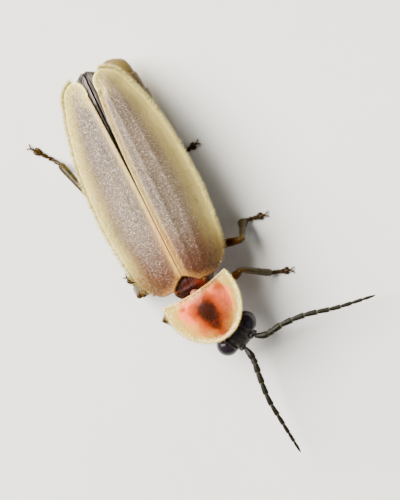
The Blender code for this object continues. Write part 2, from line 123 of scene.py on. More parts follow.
# The shortest distance, on the plan, from each point to a line of points
def planDistance(x, y, line):
    flat = np.stack([x.ravel(), y.ravel()], -1)
    return np.sqrt(((flat[:, None] - line[None]) ** 2).sum(-1).min(1)).reshape(x.shape)


# Turns points round the upright through the origin by an angle, then moves them
def turned(points, angle, shift):
    c, s = math.cos(angle), math.sin(angle)
    return points @ np.array([[c, s, 0], [-s, c, 0], [0, 0, 1]]) + np.array(shift)


# Normals of a grid: the cross product of its differences along columns and rows, turned outwards
def gridNormals(points, closed=False, outward=None):
    columns = (np.roll(points, -1, 1) - np.roll(points, 1, 1)) / 2 if closed else np.gradient(points, axis=1)
    normals = unit(np.cross(columns, np.gradient(points, axis=0)))
    if outward is None:
        outward = points - points.mean(1, keepdims=True) if closed else upright
    return normals if np.sum(normals * np.array(outward)) > 0 else -normals


# Turns a closed patch outwards: its volume, the sum of the corners' triple products, must be positive
def faceOut(patch):
    p = patch["points"] - patch["points"].mean(0)
    corners = np.vstack([patch["quads"][:, :3], patch["quads"][:, [0, 2, 3]], patch["tris"]])
    a, b, c = (p[corners[:, k]] for k in range(3))
    if np.sum(a * np.cross(b, c)) < 0:
        patch["quads"], patch["tris"] = patch["quads"][:, ::-1], patch["tris"][:, ::-1]
    return patch


# A closed patch from a grid whose columns join up. Each end is closed by a fan round its middle or,
# for the flat loop of a thin shell, by a strip between its upper points and its under points
def closedPatch(points, marks=None, ends="fan"):
    rows, columns = points.shape[:2]
    ids = np.arange(rows * columns).reshape(rows, columns)
    after = np.roll(ids, -1, axis=1)
    quads = np.stack([ids[:-1], after[:-1], after[1:], ids[1:]], -1).reshape(-1, 4)
    tris = np.zeros((0, 3), int)
    flat = points.reshape(-1, 3)
    marks = {name: np.broadcast_to(value, (rows, columns)).reshape(-1) for name, value in (marks or {}).items()}
    if ends == "fan":
        flat = np.vstack([flat, points[0].mean(0), points[-1].mean(0)])
        first, last = np.full(columns, rows * columns), np.full(columns, rows * columns + 1)
        tris = np.vstack([np.stack([first, after[0], ids[0]], -1), np.stack([last, ids[-1], after[-1]], -1)])
        marks = {name: np.append(value, [value[:columns].mean(), value[-columns:].mean()])
                 for name, value in marks.items()}
    else:
        upper, under = ids[:, :columns // 2], ids[:, :columns // 2 - 1:-1]
        first = np.stack([upper[0, 1:], upper[0, :-1], under[0, :-1], under[0, 1:]], -1)
        last = np.stack([upper[-1, :-1], upper[-1, 1:], under[-1, 1:], under[-1, :-1]], -1)
        quads = np.vstack([quads, first, last])
    return faceOut({"points": flat, "quads": quads, "tris": tris, "marks": marks})


# A thin shell: the grid, and the same grid moved inwards along its normals, as one closed loop of columns
def shellPatch(points, normals, thick, marks):
    loop = np.concatenate([points, (points - normals * thick)[:, ::-1]], 1)
    doubled = {name: np.concatenate([value, value[:, ::-1]], 1) for name, value in marks.items()}
    return closedPatch(loop, doubled, "strip")


# A closed plate: rings from the middle of its upper side to its rim, and back to the middle of its under side
def platePatch(upper, under, marks):
    doubled = {name: np.concatenate([value, value[::-1]]) for name, value in marks.items()}
    return closedPatch(np.concatenate([upper, under[::-1]]), doubled)


# A tube: rings of radius (wide, high) round a line, set by its tangent and a reference direction
def tubeGrid(line, wide, high, count, reference=upright):
    tangent = unit(np.gradient(line, axis=0))
    aside = unit(np.cross(tangent, np.array(reference, float)))
    up = np.cross(aside, tangent)
    turn = (np.arange(count) + 0.5) / count * 2 * math.pi
    wide, high = (r[:, None, None] for r in (wide, high))
    return (line[:, None] + aside[:, None] * wide * np.cos(turn)[None, :, None]
            + up[:, None] * high * np.sin(turn)[None, :, None])


# How a tube's radius closes in round ends: the root of 1 less the square of the way into each blunt end
def roundEnds(share, blunt, least):
    ends = np.clip(1 - share / blunt[0], 0, 1) ** 2 + np.clip(1 - (1 - share) / blunt[1], 0, 1) ** 2
    return np.sqrt(np.maximum(1 - ends, least))


# A limb: a tube along a smooth line whose radius follows (share, radius) stations and closes in round ends.
# Its shares are 0.5 - 0.5 cos, so that the rings crowd at both ends
def limbGrid(points, stations, count=16, rows=26, flat=1.0, blunt=(0.06, 0.06), reference=upright):
    share = 0.5 - 0.5 * np.cos(np.linspace(0.02, 1, rows) * math.pi * 0.99)
    radius = profileAt(stations, share)[0] * roundEnds(share, blunt, 0.0004)
    return tubeGrid(alongLine(points, share), radius, radius * flat, count, reference), share


# Puts patches together as one mesh piece that rides on the body
def addPiece(name, patches, material, nodes=()):
    offsets = np.cumsum([0] + [len(patch["points"]) for patch in patches])
    points = np.vstack([patch["points"] for patch in patches]) * mm + bodyOrigin
    quads, tris = (np.vstack([patch[kind] + start for patch, start in zip(patches, offsets)])
                   for kind in ("quads", "tris"))
    corners = np.concatenate([quads.ravel(), tris.ravel()])
    starts = np.concatenate([np.arange(len(quads)) * 4, len(quads) * 4 + np.arange(len(tris)) * 3])
    mesh = bpy.data.meshes.new(name)
    mesh.vertices.add(len(points))
    mesh.loops.add(len(corners))
    mesh.polygons.add(len(starts))
    mesh.vertices.foreach_set("co", points.ravel())
    mesh.loops.foreach_set("vertex_index", corners)
    mesh.polygons.foreach_set("loop_start", starts)
    if "uv" in patches[0]:
        uv = np.vstack([patch["uv"] for patch in patches])
        mesh.uv_layers.new(name="OFBake").data.foreach_set("uv", uv[corners].ravel())
    for key in sorted({key for patch in patches for key in patch["marks"]}):
        values = np.concatenate([patch["marks"].get(key, np.zeros(len(patch["points"]))) for patch in patches])
        mesh.attributes.new(key, "FLOAT", "POINT").data.foreach_set("value", values)
    mesh.update(calc_edges=True)
    mesh.validate()
    mesh.shade_smooth()
    mesh.materials.append(material)
    piece = bpy.data.objects.new(name, mesh)
    bpy.context.scene.collection.objects.link(piece)
    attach(piece, "root")
    if nodes:
        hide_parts(*nodes)
    print(name, len(quads) * 2 + len(tris), "triangles")


# Rows and columns, with fractions, of places on a grid, drawn by each cell's area times its density
def scatter(points, count, density):
    a, b, c = points[:-1, :-1], points[:-1, 1:], points[1:, :-1]
    area = np.linalg.norm(np.cross(b - a, c - a), axis=-1) * density[:-1, :-1]
    share = np.cumsum(area.ravel()) / area.sum()
    row, column = np.divmod(np.searchsorted(share, rng.random(count)), area.shape[1])
    return row + rng.random(count), column + rng.random(count)


# A grid's values at such places, blended from the four corners of the cell
def sample(values, row, column):
    r, c = np.minimum(row.astype(int), len(values) - 2), np.minimum(column.astype(int), values.shape[1] - 2)
    fr, fc = row - r, column - c
    if values.ndim == 3:
        fr, fc = fr[:, None], fc[:, None]
    upper = values[r, c] * (1 - fc) + values[r, c + 1] * fc
    lower = values[r + 1, c] * (1 - fc) + values[r + 1, c + 1] * fc
    return upper * (1 - fr) + lower * fr


# Hairs as thin closed spikes on a grid: root + length (t course + lift t (2 - t) normal) is the middle line,
# with three corners round it at the root and half way, and a point at its end. Its OFBake patch is 0.003
# across and lies at the root's column and row on the grid
def hairPatch(values, points, normals, marks, closed=True, density=None, course=None, places=None, look="hair"):
    course = np.gradient(points, axis=0) if course is None else course
    density = np.ones(points.shape[:2]) if density is None else density
    if closed:
        points, normals, course, density = (np.concatenate([grid, grid[:, :1]], 1)
                                            for grid in (points, normals, course, density))
        marks = {key: np.concatenate([value, value[:, :1]], 1) for key, value in marks.items()}
    row, column = scatter(points, values["hairs"], density) if places is None else places
    count, look = len(row), values[look]
    root, normal, course = (sample(grid, row, column) for grid in (points, normals, course))
    normal = unit(normal)
    course = unit(course - normal * np.sum(course * normal, -1, keepdims=True))
    aside = np.cross(normal, course)
    swing = rng.normal(0, look["spread"], count)[:, None]
    course, aside = course * np.cos(swing) + aside * np.sin(swing), aside * np.cos(swing) - course * np.sin(swing)
    size = look["length"] * rng.uniform(0.65, 1.25, count)[:, None]
    lift = look["lift"] * rng.uniform(0.6, 1.4, count)[:, None]
    thick = look["width"] / 2 * rng.uniform(0.8, 1.2, count)[:, None]
    root = root - normal * thick * 0.6
    middle = root + size * (0.5 * course + 0.75 * lift * normal)
    tip = root + size * (course + lift * normal)
    corners = [normal, aside * 0.87 - normal * 0.5, -aside * 0.87 - normal * 0.5]
    rings = [root + thick * corner for corner in corners] + [middle + 0.75 * thick * corner for corner in corners]
    spikes = np.stack(rings + [tip], 1)
    spikes[..., 2] = np.maximum(spikes[..., 2], 0.002)  # nothing goes into the floor
    base = (np.arange(count) * 7)[:, None]
    quads = np.concatenate([base + np.array([k, (k + 1) % 3, (k + 1) % 3 + 3, k + 3]) for k in range(3)])
    tris = np.concatenate([base + np.array(face) for face in ((2, 1, 0), (3, 4, 6), (4, 5, 6), (5, 3, 6))])
    spots = np.array([(-1, -1), (1, -1), (0, -0.6), (-0.8, 0.2), (0.8, 0.2), (0, 0.4), (0, 1)]) * 0.0015
    place = 0.01 + 0.98 * np.stack([column / (points.shape[1] - 1), row / (len(points) - 1)], -1)
    marks = {key: np.repeat(sample(value, row, column), 7) for key, value in marks.items()}
    marks["hairShare"] = np.tile([0, 0, 0, 0.5, 0.5, 0.5, 1.0], count)
    return faceOut({"points": spikes.reshape(-1, 3), "quads": quads, "tris": tris, "marks": marks,
                    "uv": (place[:, None] + spots).reshape(-1, 2)})


canvas = {}  # holds the node tree that is being painted


def setInputs(node, inputs):
    for key, value in inputs.items():
        if isinstance(value, bpy.types.NodeSocket):
            canvas["tree"].links.new(value, node.inputs[key])
        else:
            node.inputs[key].default_value = value


# Adds a shader node. Settings are its own properties; an input is a number, a colour or another node's socket
def addNode(kind, inputs, **settings):
    node = canvas["tree"].nodes.new("ShaderNode" + kind)
    for key, value in settings.items():
        setattr(node, key, value)
    setInputs(node, inputs)
    return node


# The colour low where the factor is 0 and high where it is 1
def blend(factor, low, high):
    return addNode("Mix", {0: factor, 6: low, 7: high}, data_type="RGBA").outputs[2]


def times(first, second, operation="MULTIPLY"):
    return addNode("Math", {0: first, 1: second}, operation=operation).outputs[0]


def plus(first, second):
    return times(first, second, "ADD")


# From low to high as the value goes from start to end, eased at both ends
def ease(value, start, end, low=0.0, high=1.0):
    inputs = {"Value": value, "From Min": start, "From Max": end, "To Min": low, "To Max": high}
    return addNode("MapRange", inputs, interpolation_type="SMOOTHSTEP").outputs[0]


def markOf(name):
    return addNode("Attribute", {}, attribute_name=name).outputs["Fac"]


# Noise on Object coordinates, scale in waves per metre, stretched by dividing the scale along each axis
# after a turn in degrees round the upright
def noiseOf(scale, stretch=(1, 1, 1), detail=3.0, rough=0.55, turn=0.0):
    place = addNode("TexCoord", {}).outputs["Object"]
    place = addNode("Mapping", {"Vector": place, "Rotation": (0, 0, math.radians(turn))}).outputs[0]
    place = addNode("Mapping", {"Vector": place, "Scale": [1 / s for s in stretch]}).outputs[0]
    return addNode("TexNoise", {"Vector": place, "Scale": scale, "Detail": detail, "Roughness": rough}).outputs[0]


# Cells on Object coordinates, as the distance to the nearest cell's middle
def cellsOf(scale):
    place = addNode("TexCoord", {}).outputs["Object"]
    return addNode("TexVoronoi", {"Vector": place, "Scale": scale}).outputs["Distance"]


def bumpOf(height, distance, strength, under=None):
    inputs = {"Height": height, "Distance": distance * mm, "Strength": strength}
    if under is not None:
        inputs["Normal"] = under
    return addNode("Bump", inputs).outputs[0]


# A material whose paint function returns the inputs of its main shader
def makeMaterial(name, paint):
    material = bpy.data.materials.new(name)
    material.use_nodes = True
    canvas["tree"] = material.node_tree
    setInputs(material.node_tree.nodes["Principled BSDF"], paint())
    return material


# Light that goes a little way into a skin, in millimetres, further for red than for green and blue
def fleshy(weight, depth, radius=(1, 0.7, 0.4)):
    return {"Subsurface Weight": weight, "Subsurface Radius": radius, "Subsurface Scale": depth * mm}


# A piece's own colours laid over a first one, each by its factor
def layered(values, colour, *layers):
    for factor, key in layers:
        colour = blend(factor, colour, values[key])
    return colour


# A colour function: clouds of two tones, and over them the colour of each mark by its strength
def cloudColour(values):
    def colourOf():
        scale, start, end, detail = values["cloud"]
        first = blend(ease(noiseOf(scale, detail=detail), start, end), values["dark"], values["light"])
        layers = ((times(markOf(name), share), key) for name, key, share in values["layers"])
        return layered(values, first, *layers)
    return colourOf


# A paint function for skin: roughness from fine grain, and its reliefs one over the other
def skinPaint(values, colourOf):
    def paint():
        grain, low, high, ior = values["gloss"]
        relief = None
        for pattern, scale, depth, strength in values["relief"]:
            relief = bumpOf(pattern(scale), depth, strength, relief)
        return {"Base Color": colourOf(), "Roughness": ease(noiseOf(grain), 0.3, 0.7, low, high), "IOR": ior,
                "Normal": relief}
    return paint


# A paint function for hair in the colour beneath it, paler towards its tip, with some darker hairs
def hairPaint(values, colourOf, share, ior=1.35, shareOf=None):
    def paint():
        paler = ease(markOf("hairShare"), -0.6, 1.2, share * 0.5, share)
        if shareOf:
            paler = times(paler, shareOf())
        colour = blend(paler, colourOf(), values["hairColour"])
        colour = blend(ease(noiseOf(9000), 0.4, 0.6, 0.3, 0), colour, tone(70, 56, 42))
        return {"Base Color": colour, "Roughness": 0.36, "IOR": ior}
    return paint


wingCase = {
    "outer": ((0.2, 1.5), (0.9, 1.92), (2.2, 2.15), (4.1, 2.26), (6.4, 2.1), (8.0, 1.78), (9.0, 1.45)),
    "seam": ((0.5, 0.012), (3.5, 0.015), (5.0, 0.03), (6.5, 0.07), (8.2, 0.15), (9.0, 0.22)),
    "top": ((0.2, 3.12), (1.5, 3.27), (3.5, 3.3), (6.5, 3.2), (8.3, 3.0), (9.8, 2.72)),
    "frontY": 0.2, "bendY": 9.0, "tipY": 9.76, "tipX": 0.66,  # the tip is an ellipse from bendY to tipY
    # round front corners: how far back they go, their place and span across the case, and their power
    "innerCorner": (0.48, 0.38, 1.35), "outerCorner": (0.19, 0.84, 0.16, 1.6), "cornerLong": 2.4,
    "drop": 0.92, "tipDrop": 0.5,  # how far the outer edge lies under the seam
    "thick": 0.055, "lip": 0.05, "flange": 0.3, "frontRoll": 0.13,
    "ribs": ((0.3, 0.034), (0.56, 0.028)), "hairs": 11000, "fringe": 2400,
    "hair": {"length": 0.1, "width": 0.0065, "lift": 0.2, "spread": 0.4},
    "fringeHair": {"length": 0.19, "width": 0.011, "lift": 0.5, "spread": 0.35},
    "middle": tone(121, 102, 83), "outside": tone(116, 95, 60), "base": tone(90, 44, 2),
    "dusk": tone(76, 62, 50), "pink": tone(176, 122, 84), "pale": tone(216, 196, 110),
    # the crest tone is a painted glint on the granules' crests, the hollow tone painted shade between them
    "edge": tone(244, 230, 134), "crestGlint": tone(244, 226, 204), "hollow": tone(56, 45, 36),
    "seamColour": tone(202, 174, 108), "front": tone(192, 132, 46), "hairColour": tone(214, 200, 156),
}


# Height of a wing case: its top line less drop times the 2.3rd power of the share of the way to the outer edge
def caseHeight(x, y):
    late = np.maximum(0, (y - wingCase["bendY"] + 1.5) / (wingCase["tipY"] - wingCase["bendY"] + 1.5))
    drop = wingCase["drop"] + (wingCase["tipDrop"] - wingCase["drop"]) * late
    outer = profileAt(wingCase["outer"], np.minimum(y, wingCase["bendY"]))[0]
    return profileAt(wingCase["top"], y)[0] - drop * np.minimum(np.abs(x) / outer, 1) ** 2.3


# A wing case as rows from front to tip and columns from seam to outer edge, then over a round lip and down
# a short flange. The front rolls down in the same way: out by r sin, down by r (1 - cos)
def wingCaseGrid(side):
    roll, lip, frontY, bendY, tipY = (wingCase[key] for key in ("frontRoll", "lip", "frontY", "bendY", "tipY"))
    y = np.linspace(frontY + roll, bendY, 236)
    inner, outer = profileAt(wingCase["seam"], y)[0], profileAt(wingCase["outer"], y)[0]
    middle, half = (inner[-1] + outer[-1]) / 2, (outer[-1] - inner[-1]) / 2
    turn = np.radians(np.linspace(3, 87, 44))
    centre = middle + (wingCase["tipX"] - middle) * np.sin(turn)
    straight = len(y)
    y = np.append(y, bendY + (tipY - bendY) * np.sin(turn))
    inner = np.append(inner, centre - half * np.cos(turn))
    outer = np.append(outer, centre + half * np.cos(turn)) - lip
    v = np.linspace(0, 1, 72)
    x = inner[:, None] + (outer - inner)[:, None] * v
    far, reach, power = wingCase["innerCorner"]
    back = far * np.maximum(0, 1 - (v / reach) ** power)
    far, start, span, power = wingCase["outerCorner"]
    back = back + far * np.maximum(0, (v - start) / span) ** power
    y = y[:, None] + back * (np.maximum(0, 1 - (y - frontY) / wingCase["cornerLong"]) ** 2)[:, None]
    rimLine = np.stack([np.append(x[:, -1] + lip, x[straight:, 0]), np.append(y[:, -1], y[straight:, 0])], -1)
    seamLine = np.stack([x[:straight, 0], y[:straight, 0]], -1)
    rim, seam = planDistance(x, y, rimLine[::2]), planDistance(x, y, seamLine[::2])
    along = np.clip((y - frontY) / (tipY - frontY), 0, 1)
    z = caseHeight(x, y) + 0.01 * ripple(x, y, 1.5, 5 + side)
    for at, height in wingCase["ribs"]:
        z = z + height * bell(v, at, 0.05) * np.sin(math.pi * along) ** 0.5
    z = z + 0.016 * bell(seam, 0.04, 0.05) - 0.02 * bell(seam, 0.17, 0.07)
    z = z + 0.012 * bell(rim, 0.06, 0.06) - 0.028 * bell(rim, 0.3, 0.12)
    grid = np.stack([x, y, z], -1)
    # the lip and flange of the outer edge
    edge = grid[:, -1:]
    tangent = unit(np.gradient(edge[:, 0, :2], axis=0))
    out = np.stack([tangent[:, 1], -tangent[:, 0], np.zeros(len(edge))], -1)[:, None]
    down = np.array([0, 0, -1.0])
    bend = np.radians(np.array([20, 40, 62, 84, 106, 128]))[:, None]
    over = lip * np.sin(bend) * out + lip * (1 - np.cos(bend)) * down
    long = wingCase["flange"] * np.sin(math.pi * np.clip(along[:, -1] * 1.05, 0, 1)) ** 0.4
    hang = np.array([0.33, 0.66, 1.0])[None, :, None] * long[:, None, None] * (0.94 * down - 0.34 * out)
    grid = np.concatenate([grid, edge + over, edge + over[:, -1:] + hang], 1)
    # the rolled front, which turns outwards and closes in at the outer corner
    bend = np.radians(np.array([95, 80, 65, 50, 35, 20, 8]))[:, None, None]
    corner = fade(np.append(v, np.ones(grid.shape[1] - len(v))), 0.7, 1.0)[:, None]
    ahead = np.concatenate([np.sin(1.1 * corner), -np.cos(1.1 * corner), 0 * corner], 1)
    rolled = grid[:1] + roll * (1 - 0.93 * corner) * (np.sin(bend) * ahead + (1 - np.cos(bend)) * down)
    tuck = rolled[:1] + np.array([0.3, 0.2, 0.1])[:, None, None] * (1 - 0.85 * corner) * (down - 0.2 * ahead)
    grid = np.concatenate([tuck, rolled, grid])
    wide, long = grid.shape[1] - len(v), len(tuck) + len(rolled)
    marks = {"across": np.broadcast_to(v, x.shape), "rimGap": rim, "seamGap": seam,
             "frontGap": y - frontY - back * 0.9}
    marks = {name: np.pad(mark, ((long, 0), (0, wide)), mode="edge") for name, mark in marks.items()}
    marks["rimGap"][:, len(v):] = 0
    marks["frontGap"][:long] = 0
    return grid * (side, 1, 1), marks, len(v)


# The colours of a wing case by its distance from rim, seam and front, clouded by slow noise
def caseColour():
    across, rim, seam, front = (markOf(name) for name in ("across", "rimGap", "seamGap", "frontGap"))
    cloud = noiseOf(700, (1, 2.2, 1), 4)
    warm = plus(front, times(across, -0.8))
    near = plus(rim, times(plus(cloud, -0.5), 0.3))
    colour = layered(wingCase, wingCase["middle"], (ease(across, 0.5, 0.8), "outside"),
                     (ease(cloud, 0.35, 0.7, 0, 0.45), "dusk"),
                     (times(ease(seam, 0.25, 0.7, 0.4, 0), ease(front, 3.4, 1.2)), "pink"),
                     (ease(warm, 2.6, 0.1), "base"),
                     (times(ease(near, 0.8, -0.08, 0, 0.95), ease(front, 0.3, 2.4, 0.1)), "pale"))
    seamTint = blend(ease(front, 4.5, 1, 0, 0.65), wingCase["seamColour"], wingCase["front"])
    colour = blend(ease(seam, 0.34, 0.08, 0, 0.9), colour, seamTint)
    frontTint = times(ease(front, 0.42, 0, 0, 0.6), ease(across, 0.85, 0.45, 0.2))
    edgeTint = times(ease(rim, 0.16, 0.02, 0, 0.85), ease(front, 0.5, 2.6, 0.15))
    return layered(wingCase, colour, (frontTint, "front"), (edgeTint, "edge"))


# Wing case skin: granules and fine pits in the relief. The granules' crests are glossier and painted paler as a
# painted glint, strongest in the inner band; the hollows between them are painted darker as painted shade
def paintCase():
    granules = noiseOf(15500, (1.2, 0.85, 1), 3, 0.6)
    inner = times(ease(markOf("across"), 0.8, 0.5, 0.3), ease(markOf("rimGap"), 0.2, 0.8, 0.1))
    inner = times(ease(markOf("seamGap"), 0.15, 0.4, 0.15), inner)
    # where the painted glint of the crests lies: the inner band, weaker towards the front
    glintShare = times(ease(markOf("frontGap"), 0.2, 3, 0.35), inner)
    colour = layered(wingCase, caseColour(), (times(ease(granules, 0.54, 0.66, 0, 0.42), glintShare), "crestGlint"),
                     (times(ease(granules, 0.5, 0.38, 0, 0.55), inner), "hollow"))
    return {"Base Color": colour, "Roughness": ease(granules, 0.3, 0.7, 0.46, 0.26), "IOR": 1.5,
            "Normal": bumpOf(cellsOf(21000), 0.01, 0.7, bumpOf(granules, 0.03, 0.9)), **fleshy(0.12, 0.08)}


caseMaterial = makeMaterial("wingCaseSkin", paintCase)
caseHair = makeMaterial("wingCaseHair", hairPaint(wingCase, caseColour, 0.32,
                                                  shareOf=lambda: ease(markOf("frontGap"), 0.4, 3, 0.1)))
for word, side in bothSides:
    grid, marks, rimColumn = wingCaseGrid(side)
    normals = gridNormals(grid)
    addPiece("wing_case_" + word, [shellPatch(grid, normals, wingCase["thick"], marks)], caseMaterial,
             ["elytron_" + word])
    density = np.ones(grid.shape[:2])
    density[:, rimColumn + 3:] = 0
    density[:8] = 0.15
    coat = [hairPatch(wingCase, grid, normals, marks, False, density)]
    course = unit(np.gradient(grid, axis=1)) + 0.4 * unit(np.gradient(grid, axis=0))
    count = wingCase["fringe"]
    places = (12 + (len(grid) - 13.01) * rng.random(count) ** 0.75,
              rng.uniform(rimColumn - 2, rimColumn + 3, count))
    coat.append(hairPatch(wingCase, grid, normals, marks, False, course=course, places=places, look="fringeHair"))
    addPiece("wing_case_" + word + "_hair", coat, caseHair)

hindWing = {
    "startY": 0.95, "tipY": 9.92, "half": 1.3, "thick": 0.022, "upper": -0.2, "lower": -0.86,
    # the pale slanting streak tone is painted sheen; the shade tone is painted shade in finer streaks
    "veins": (0.1, 0.24, 0.42, 0.62, 0.84), "membrane": tone(58, 48, 36), "sheenStreak": tone(112, 98, 92),
    "shade": tone(34, 27, 23), "vein": tone(34, 26, 20),
    "slant": 18.0,  # degrees of its streaks from the line of the body
}


# A folded hind wing: a thin sheet that runs outwards under its case, folds over at its outer edge and comes back
# lower down. Its half width is the solid's, its veins are ridges, and its pleats are slow waves along x
def hindWingGrid(side):
    y = np.linspace(hindWing["startY"], hindWing["tipY"], 150)
    share = (y - y[0]) / (y[-1] - y[0])
    outer = hindWing["half"] * np.minimum(1, 0.66 + 1.6 * share)
    outer = np.maximum(outer * np.maximum(0, 1 - np.maximum(0, (share - 0.72) / 0.28) ** 2.2) ** 0.6, 0.12)
    w = np.linspace(0, 1, 71)
    v = np.where(w < 0.5, w * 2, (1 - w) * 2)
    x = 0.03 + (outer[:, None] - 0.03) * v
    drape = hindWing["upper"] + (hindWing["lower"] - hindWing["upper"]) * fade(w, 0.44, 0.56)
    taper = 1 - 0.55 * fade(share, 0.75, 1.0)[:, None]
    z = caseHeight(x, np.minimum(y, wingCase["tipY"])[:, None]) + drape * taper
    veins = sum(bell(v, at, 0.018) for at in hindWing["veins"])
    z = z + 0.018 * veins + 0.02 * np.sin(x * 17 + y[:, None] * 0.9) * (1 - bell(w, 0.5, 0.08))
    marks = {"vein": np.broadcast_to(veins, x.shape)}
    return np.stack([side * x, np.broadcast_to(y[:, None], x.shape), z], -1), marks


# Hind wing: smoky membrane with slanting pale streaks of painted silvery sheen, finer dark streaks of painted
# shade, and dark veins
def paintHindWing():
    sheenStreaks = noiseOf(4200, (0.6, 4.0, 1), 3, 0.6, hindWing["slant"])
    fine = noiseOf(15000, (0.5, 3.0, 1), turn=hindWing["slant"])
    colour = layered(hindWing, hindWing["membrane"], (ease(sheenStreaks, 0.5, 0.62), "sheenStreak"),
                     (ease(fine, 0.48, 0.66, 0, 0.7), "shade"), (ease(markOf("vein"), 0.3, 0.8, 0, 0.9), "vein"))
    return {"Base Color": colour, "Roughness": ease(fine, 0.3, 0.7, 0.3, 0.5), "Normal": bumpOf(fine, 0.012, 0.6),
            "IOR": 1.4}


hindWingMaterial = makeMaterial("hindWingMembrane", paintHindWing)
for word, side in bothSides:
    grid, marks = hindWingGrid(side)
    addPiece("hind_wing_fold_" + word, [shellPatch(grid, gridNormals(grid), hindWing["thick"], marks)],
             hindWingMaterial, ["hind_wing_" + word])

neckShield = {
    "at": (0.08, 0, 0), "yaw": math.radians(6.5), "long": 2.43, "half": 1.61, "corner": 1.53, "widest": 0.55,
    "hollow": 0.17, "rimZ": 2.6, "dome": 0.42, "thick": 0.075, "hairs": 1500, "fringe": 900,
    "hair": {"length": 0.1, "width": 0.0055, "lift": 0.2, "spread": 0.45},
    "fringeHair": {"length": 0.09, "width": 0.007, "lift": 0.25, "spread": 0.4},
    # the ovals of each mark: x and y of the middle, two radii, softness and strength
    "marks": {
        "flesh": ((0.02, 0.98, 1.12, 1.26, 0.25, 1),),
        "halo": ((0.02, 1.15, 0.74, 1.12, 0.45, 1), (0, 0.38, 0.62, 0.36, 0.6, 0.8)),
        "pink": ((-0.7, 0.76, 0.38, 0.52, 0.6, 1), (0.78, 0.88, 0.42, 0.56, 0.6, 1)),
        "amber": ((-0.84, 0.42, 0.17, 0.15, 0.8, 1), (0.9, 0.44, 0.24, 0.2, 0.8, 1)),
        "spot": ((0.03, 1.17, 0.46, 0.62, 0.45, 1), (0.03, 1.68, 0.3, 0.32, 0.6, 1)),
        "core": ((0.03, 1.14, 0.33, 0.46, 0.45, 1), (0.02, 1.66, 0.17, 0.17, 0.6, 0.6)),
    },
    "layers": (("flesh", "flesh", 0.85), ("pink", "pink", 1), ("halo", "amber", 0.95), ("amber", "amber", 0.8),
               ("spot", "brown", 1), ("core", "core", 1)),
    "pale": tone(208, 172, 62), "olive": tone(186, 164, 70), "flesh": tone(236, 150, 66),
    "pink": tone(255, 118, 74), "amber": tone(176, 66, 8), "brown": tone(104, 32, 4), "core": tone(54, 14, 0),
    # the bead tone is a near-white painted glint on the raised beads near the rim
    "edge": tone(240, 224, 140), "hind": tone(212, 146, 62), "beadGlint": tone(252, 244, 204),
    "hairColour": tone(232, 214, 150),
}


# How far ahead the hollow hind edge of the shield lies at a distance from its middle
def shieldHollow(x):
    return neckShield["hollow"] * (1 - (x / neckShield["corner"]) ** 1.7)


# The outline of the neck shield, counter-clockwise from the middle of its hind edge: a hollow hind edge,
# sides that widen by a square and half an ellipse in front, at equal steps of length but for the sharp corners
def shieldOutline(count):
    half, corner, widest, long = (neckShield[key] for key in ("half", "corner", "widest", "long"))
    x = np.linspace(0, corner, 40)
    hind = np.stack([x, shieldHollow(x)], -1)
    ahead = np.linspace(0, widest, 16)[1:]
    flank = np.stack([half - (half - corner) * (1 - ahead / widest) ** 2, ahead], -1)
    turn = np.radians(np.linspace(0, 90, 70))[1:]
    front = np.stack([half * np.cos(turn), widest + (long - widest) * np.sin(turn)], -1)
    right = np.vstack([hind, flank, front])
    line = np.vstack([right, right[-2::-1] * (-1, 1)])
    steps = stepsOf(line)
    at = np.arange(count) / count * steps[-1]
    for corner in (steps[39], steps[-40]):
        at[np.abs(at - corner).argmin()] = corner
    return np.stack([np.interp(at, steps, line[:, k]) for k in range(2)], -1)


# The neck shield as rings from its middle to its rim: a flat rim that rises to a dome over the body, with a lip
# and a gutter along the edge, a fine middle groove and two shallow dents
def shieldGrid():
    outline = shieldOutline(220)
    centre = np.array([0, 1.0])
    reach = 1 - (1 - np.linspace(0.02, 1, 74)) ** 1.25
    plan = centre + reach[:, None, None] * (outline - centre)
    x, ahead = plan[..., 0], plan[..., 1]
    rim = planDistance(x, ahead, outline)
    bulge = np.maximum(0, 1 - (x / 1.12) ** 2 - ((ahead - 0.7) / 1.6) ** 2) ** 1.2
    z = neckShield["rimZ"] - 0.1 * (ahead / neckShield["long"]) ** 2 + neckShield["dome"] * bulge
    z = z + 0.018 * bell(rim, 0.03, 0.06) - 0.014 * bell(rim, 0.2, 0.09) + 0.012 * ripple(x, ahead, 0.7, 4)
    z = z - 0.006 * bell(x, 0, 0.06) * fade(ahead, 0.2, 0.5) * fade(ahead, 2.0, 1.5)
    z = z - 0.05 * sum(oval(x, ahead, (side * 0.55, 0.32), (0.2, 0.12), 0.8) for side in (1, -1))
    hindLine = ahead - shieldHollow(np.minimum(np.abs(x), neckShield["corner"]))
    z = z - 0.008 * bell(hindLine, 0.13, 0.04) * fade(np.abs(x), 1.35, 1.1)
    z = z + 0.03 * oval(x, ahead, (0.02, 1.7), (0.09, 0.09), 0.7)
    a, b = x + 0.05 * ripple(x, ahead, 0.7, 8), ahead + 0.05 * ripple(x, ahead, 0.6, 9)
    marks = {name: np.max([strength * oval(a, b, (across, at), (wide, long), soft)
                           for across, at, wide, long, soft, strength in ovals], 0)
             for name, ovals in neckShield["marks"].items()}
    marks.update(hind=fade(hindLine, 0.3, 0.05) * fade(np.abs(x), 1.3, 0.9), rimGap=rim)
    return turned(np.stack([x, -ahead, z], -1), neckShield["yaw"], neckShield["at"]), marks


# The colours of the neck shield, one mark over the other: pale rim, flesh, pink, orange halo, amber, brown, dark.
# Slow noise moves each mark's soft edge
def shieldColour():
    cloud = noiseOf(2600, detail=4)
    wobble = ease(cloud, 0.25, 0.75, -0.25, 0.25)
    colour = blend(ease(cloud, 0.35, 0.7), neckShield["pale"], neckShield["olive"])
    for name, key, strength in neckShield["layers"]:
        mark = markOf(name)
        edge = times(times(mark, plus(1, times(mark, -1))), 4)
        mark = ease(plus(mark, times(edge, wobble)), 0, 1)
        colour = blend(times(mark, strength), colour, neckShield[key])
    return layered(neckShield, colour, (ease(markOf("rimGap"), 0.2, 0, 0, 0.6), "edge"),
                   (times(markOf("hind"), 0.8), "hind"))
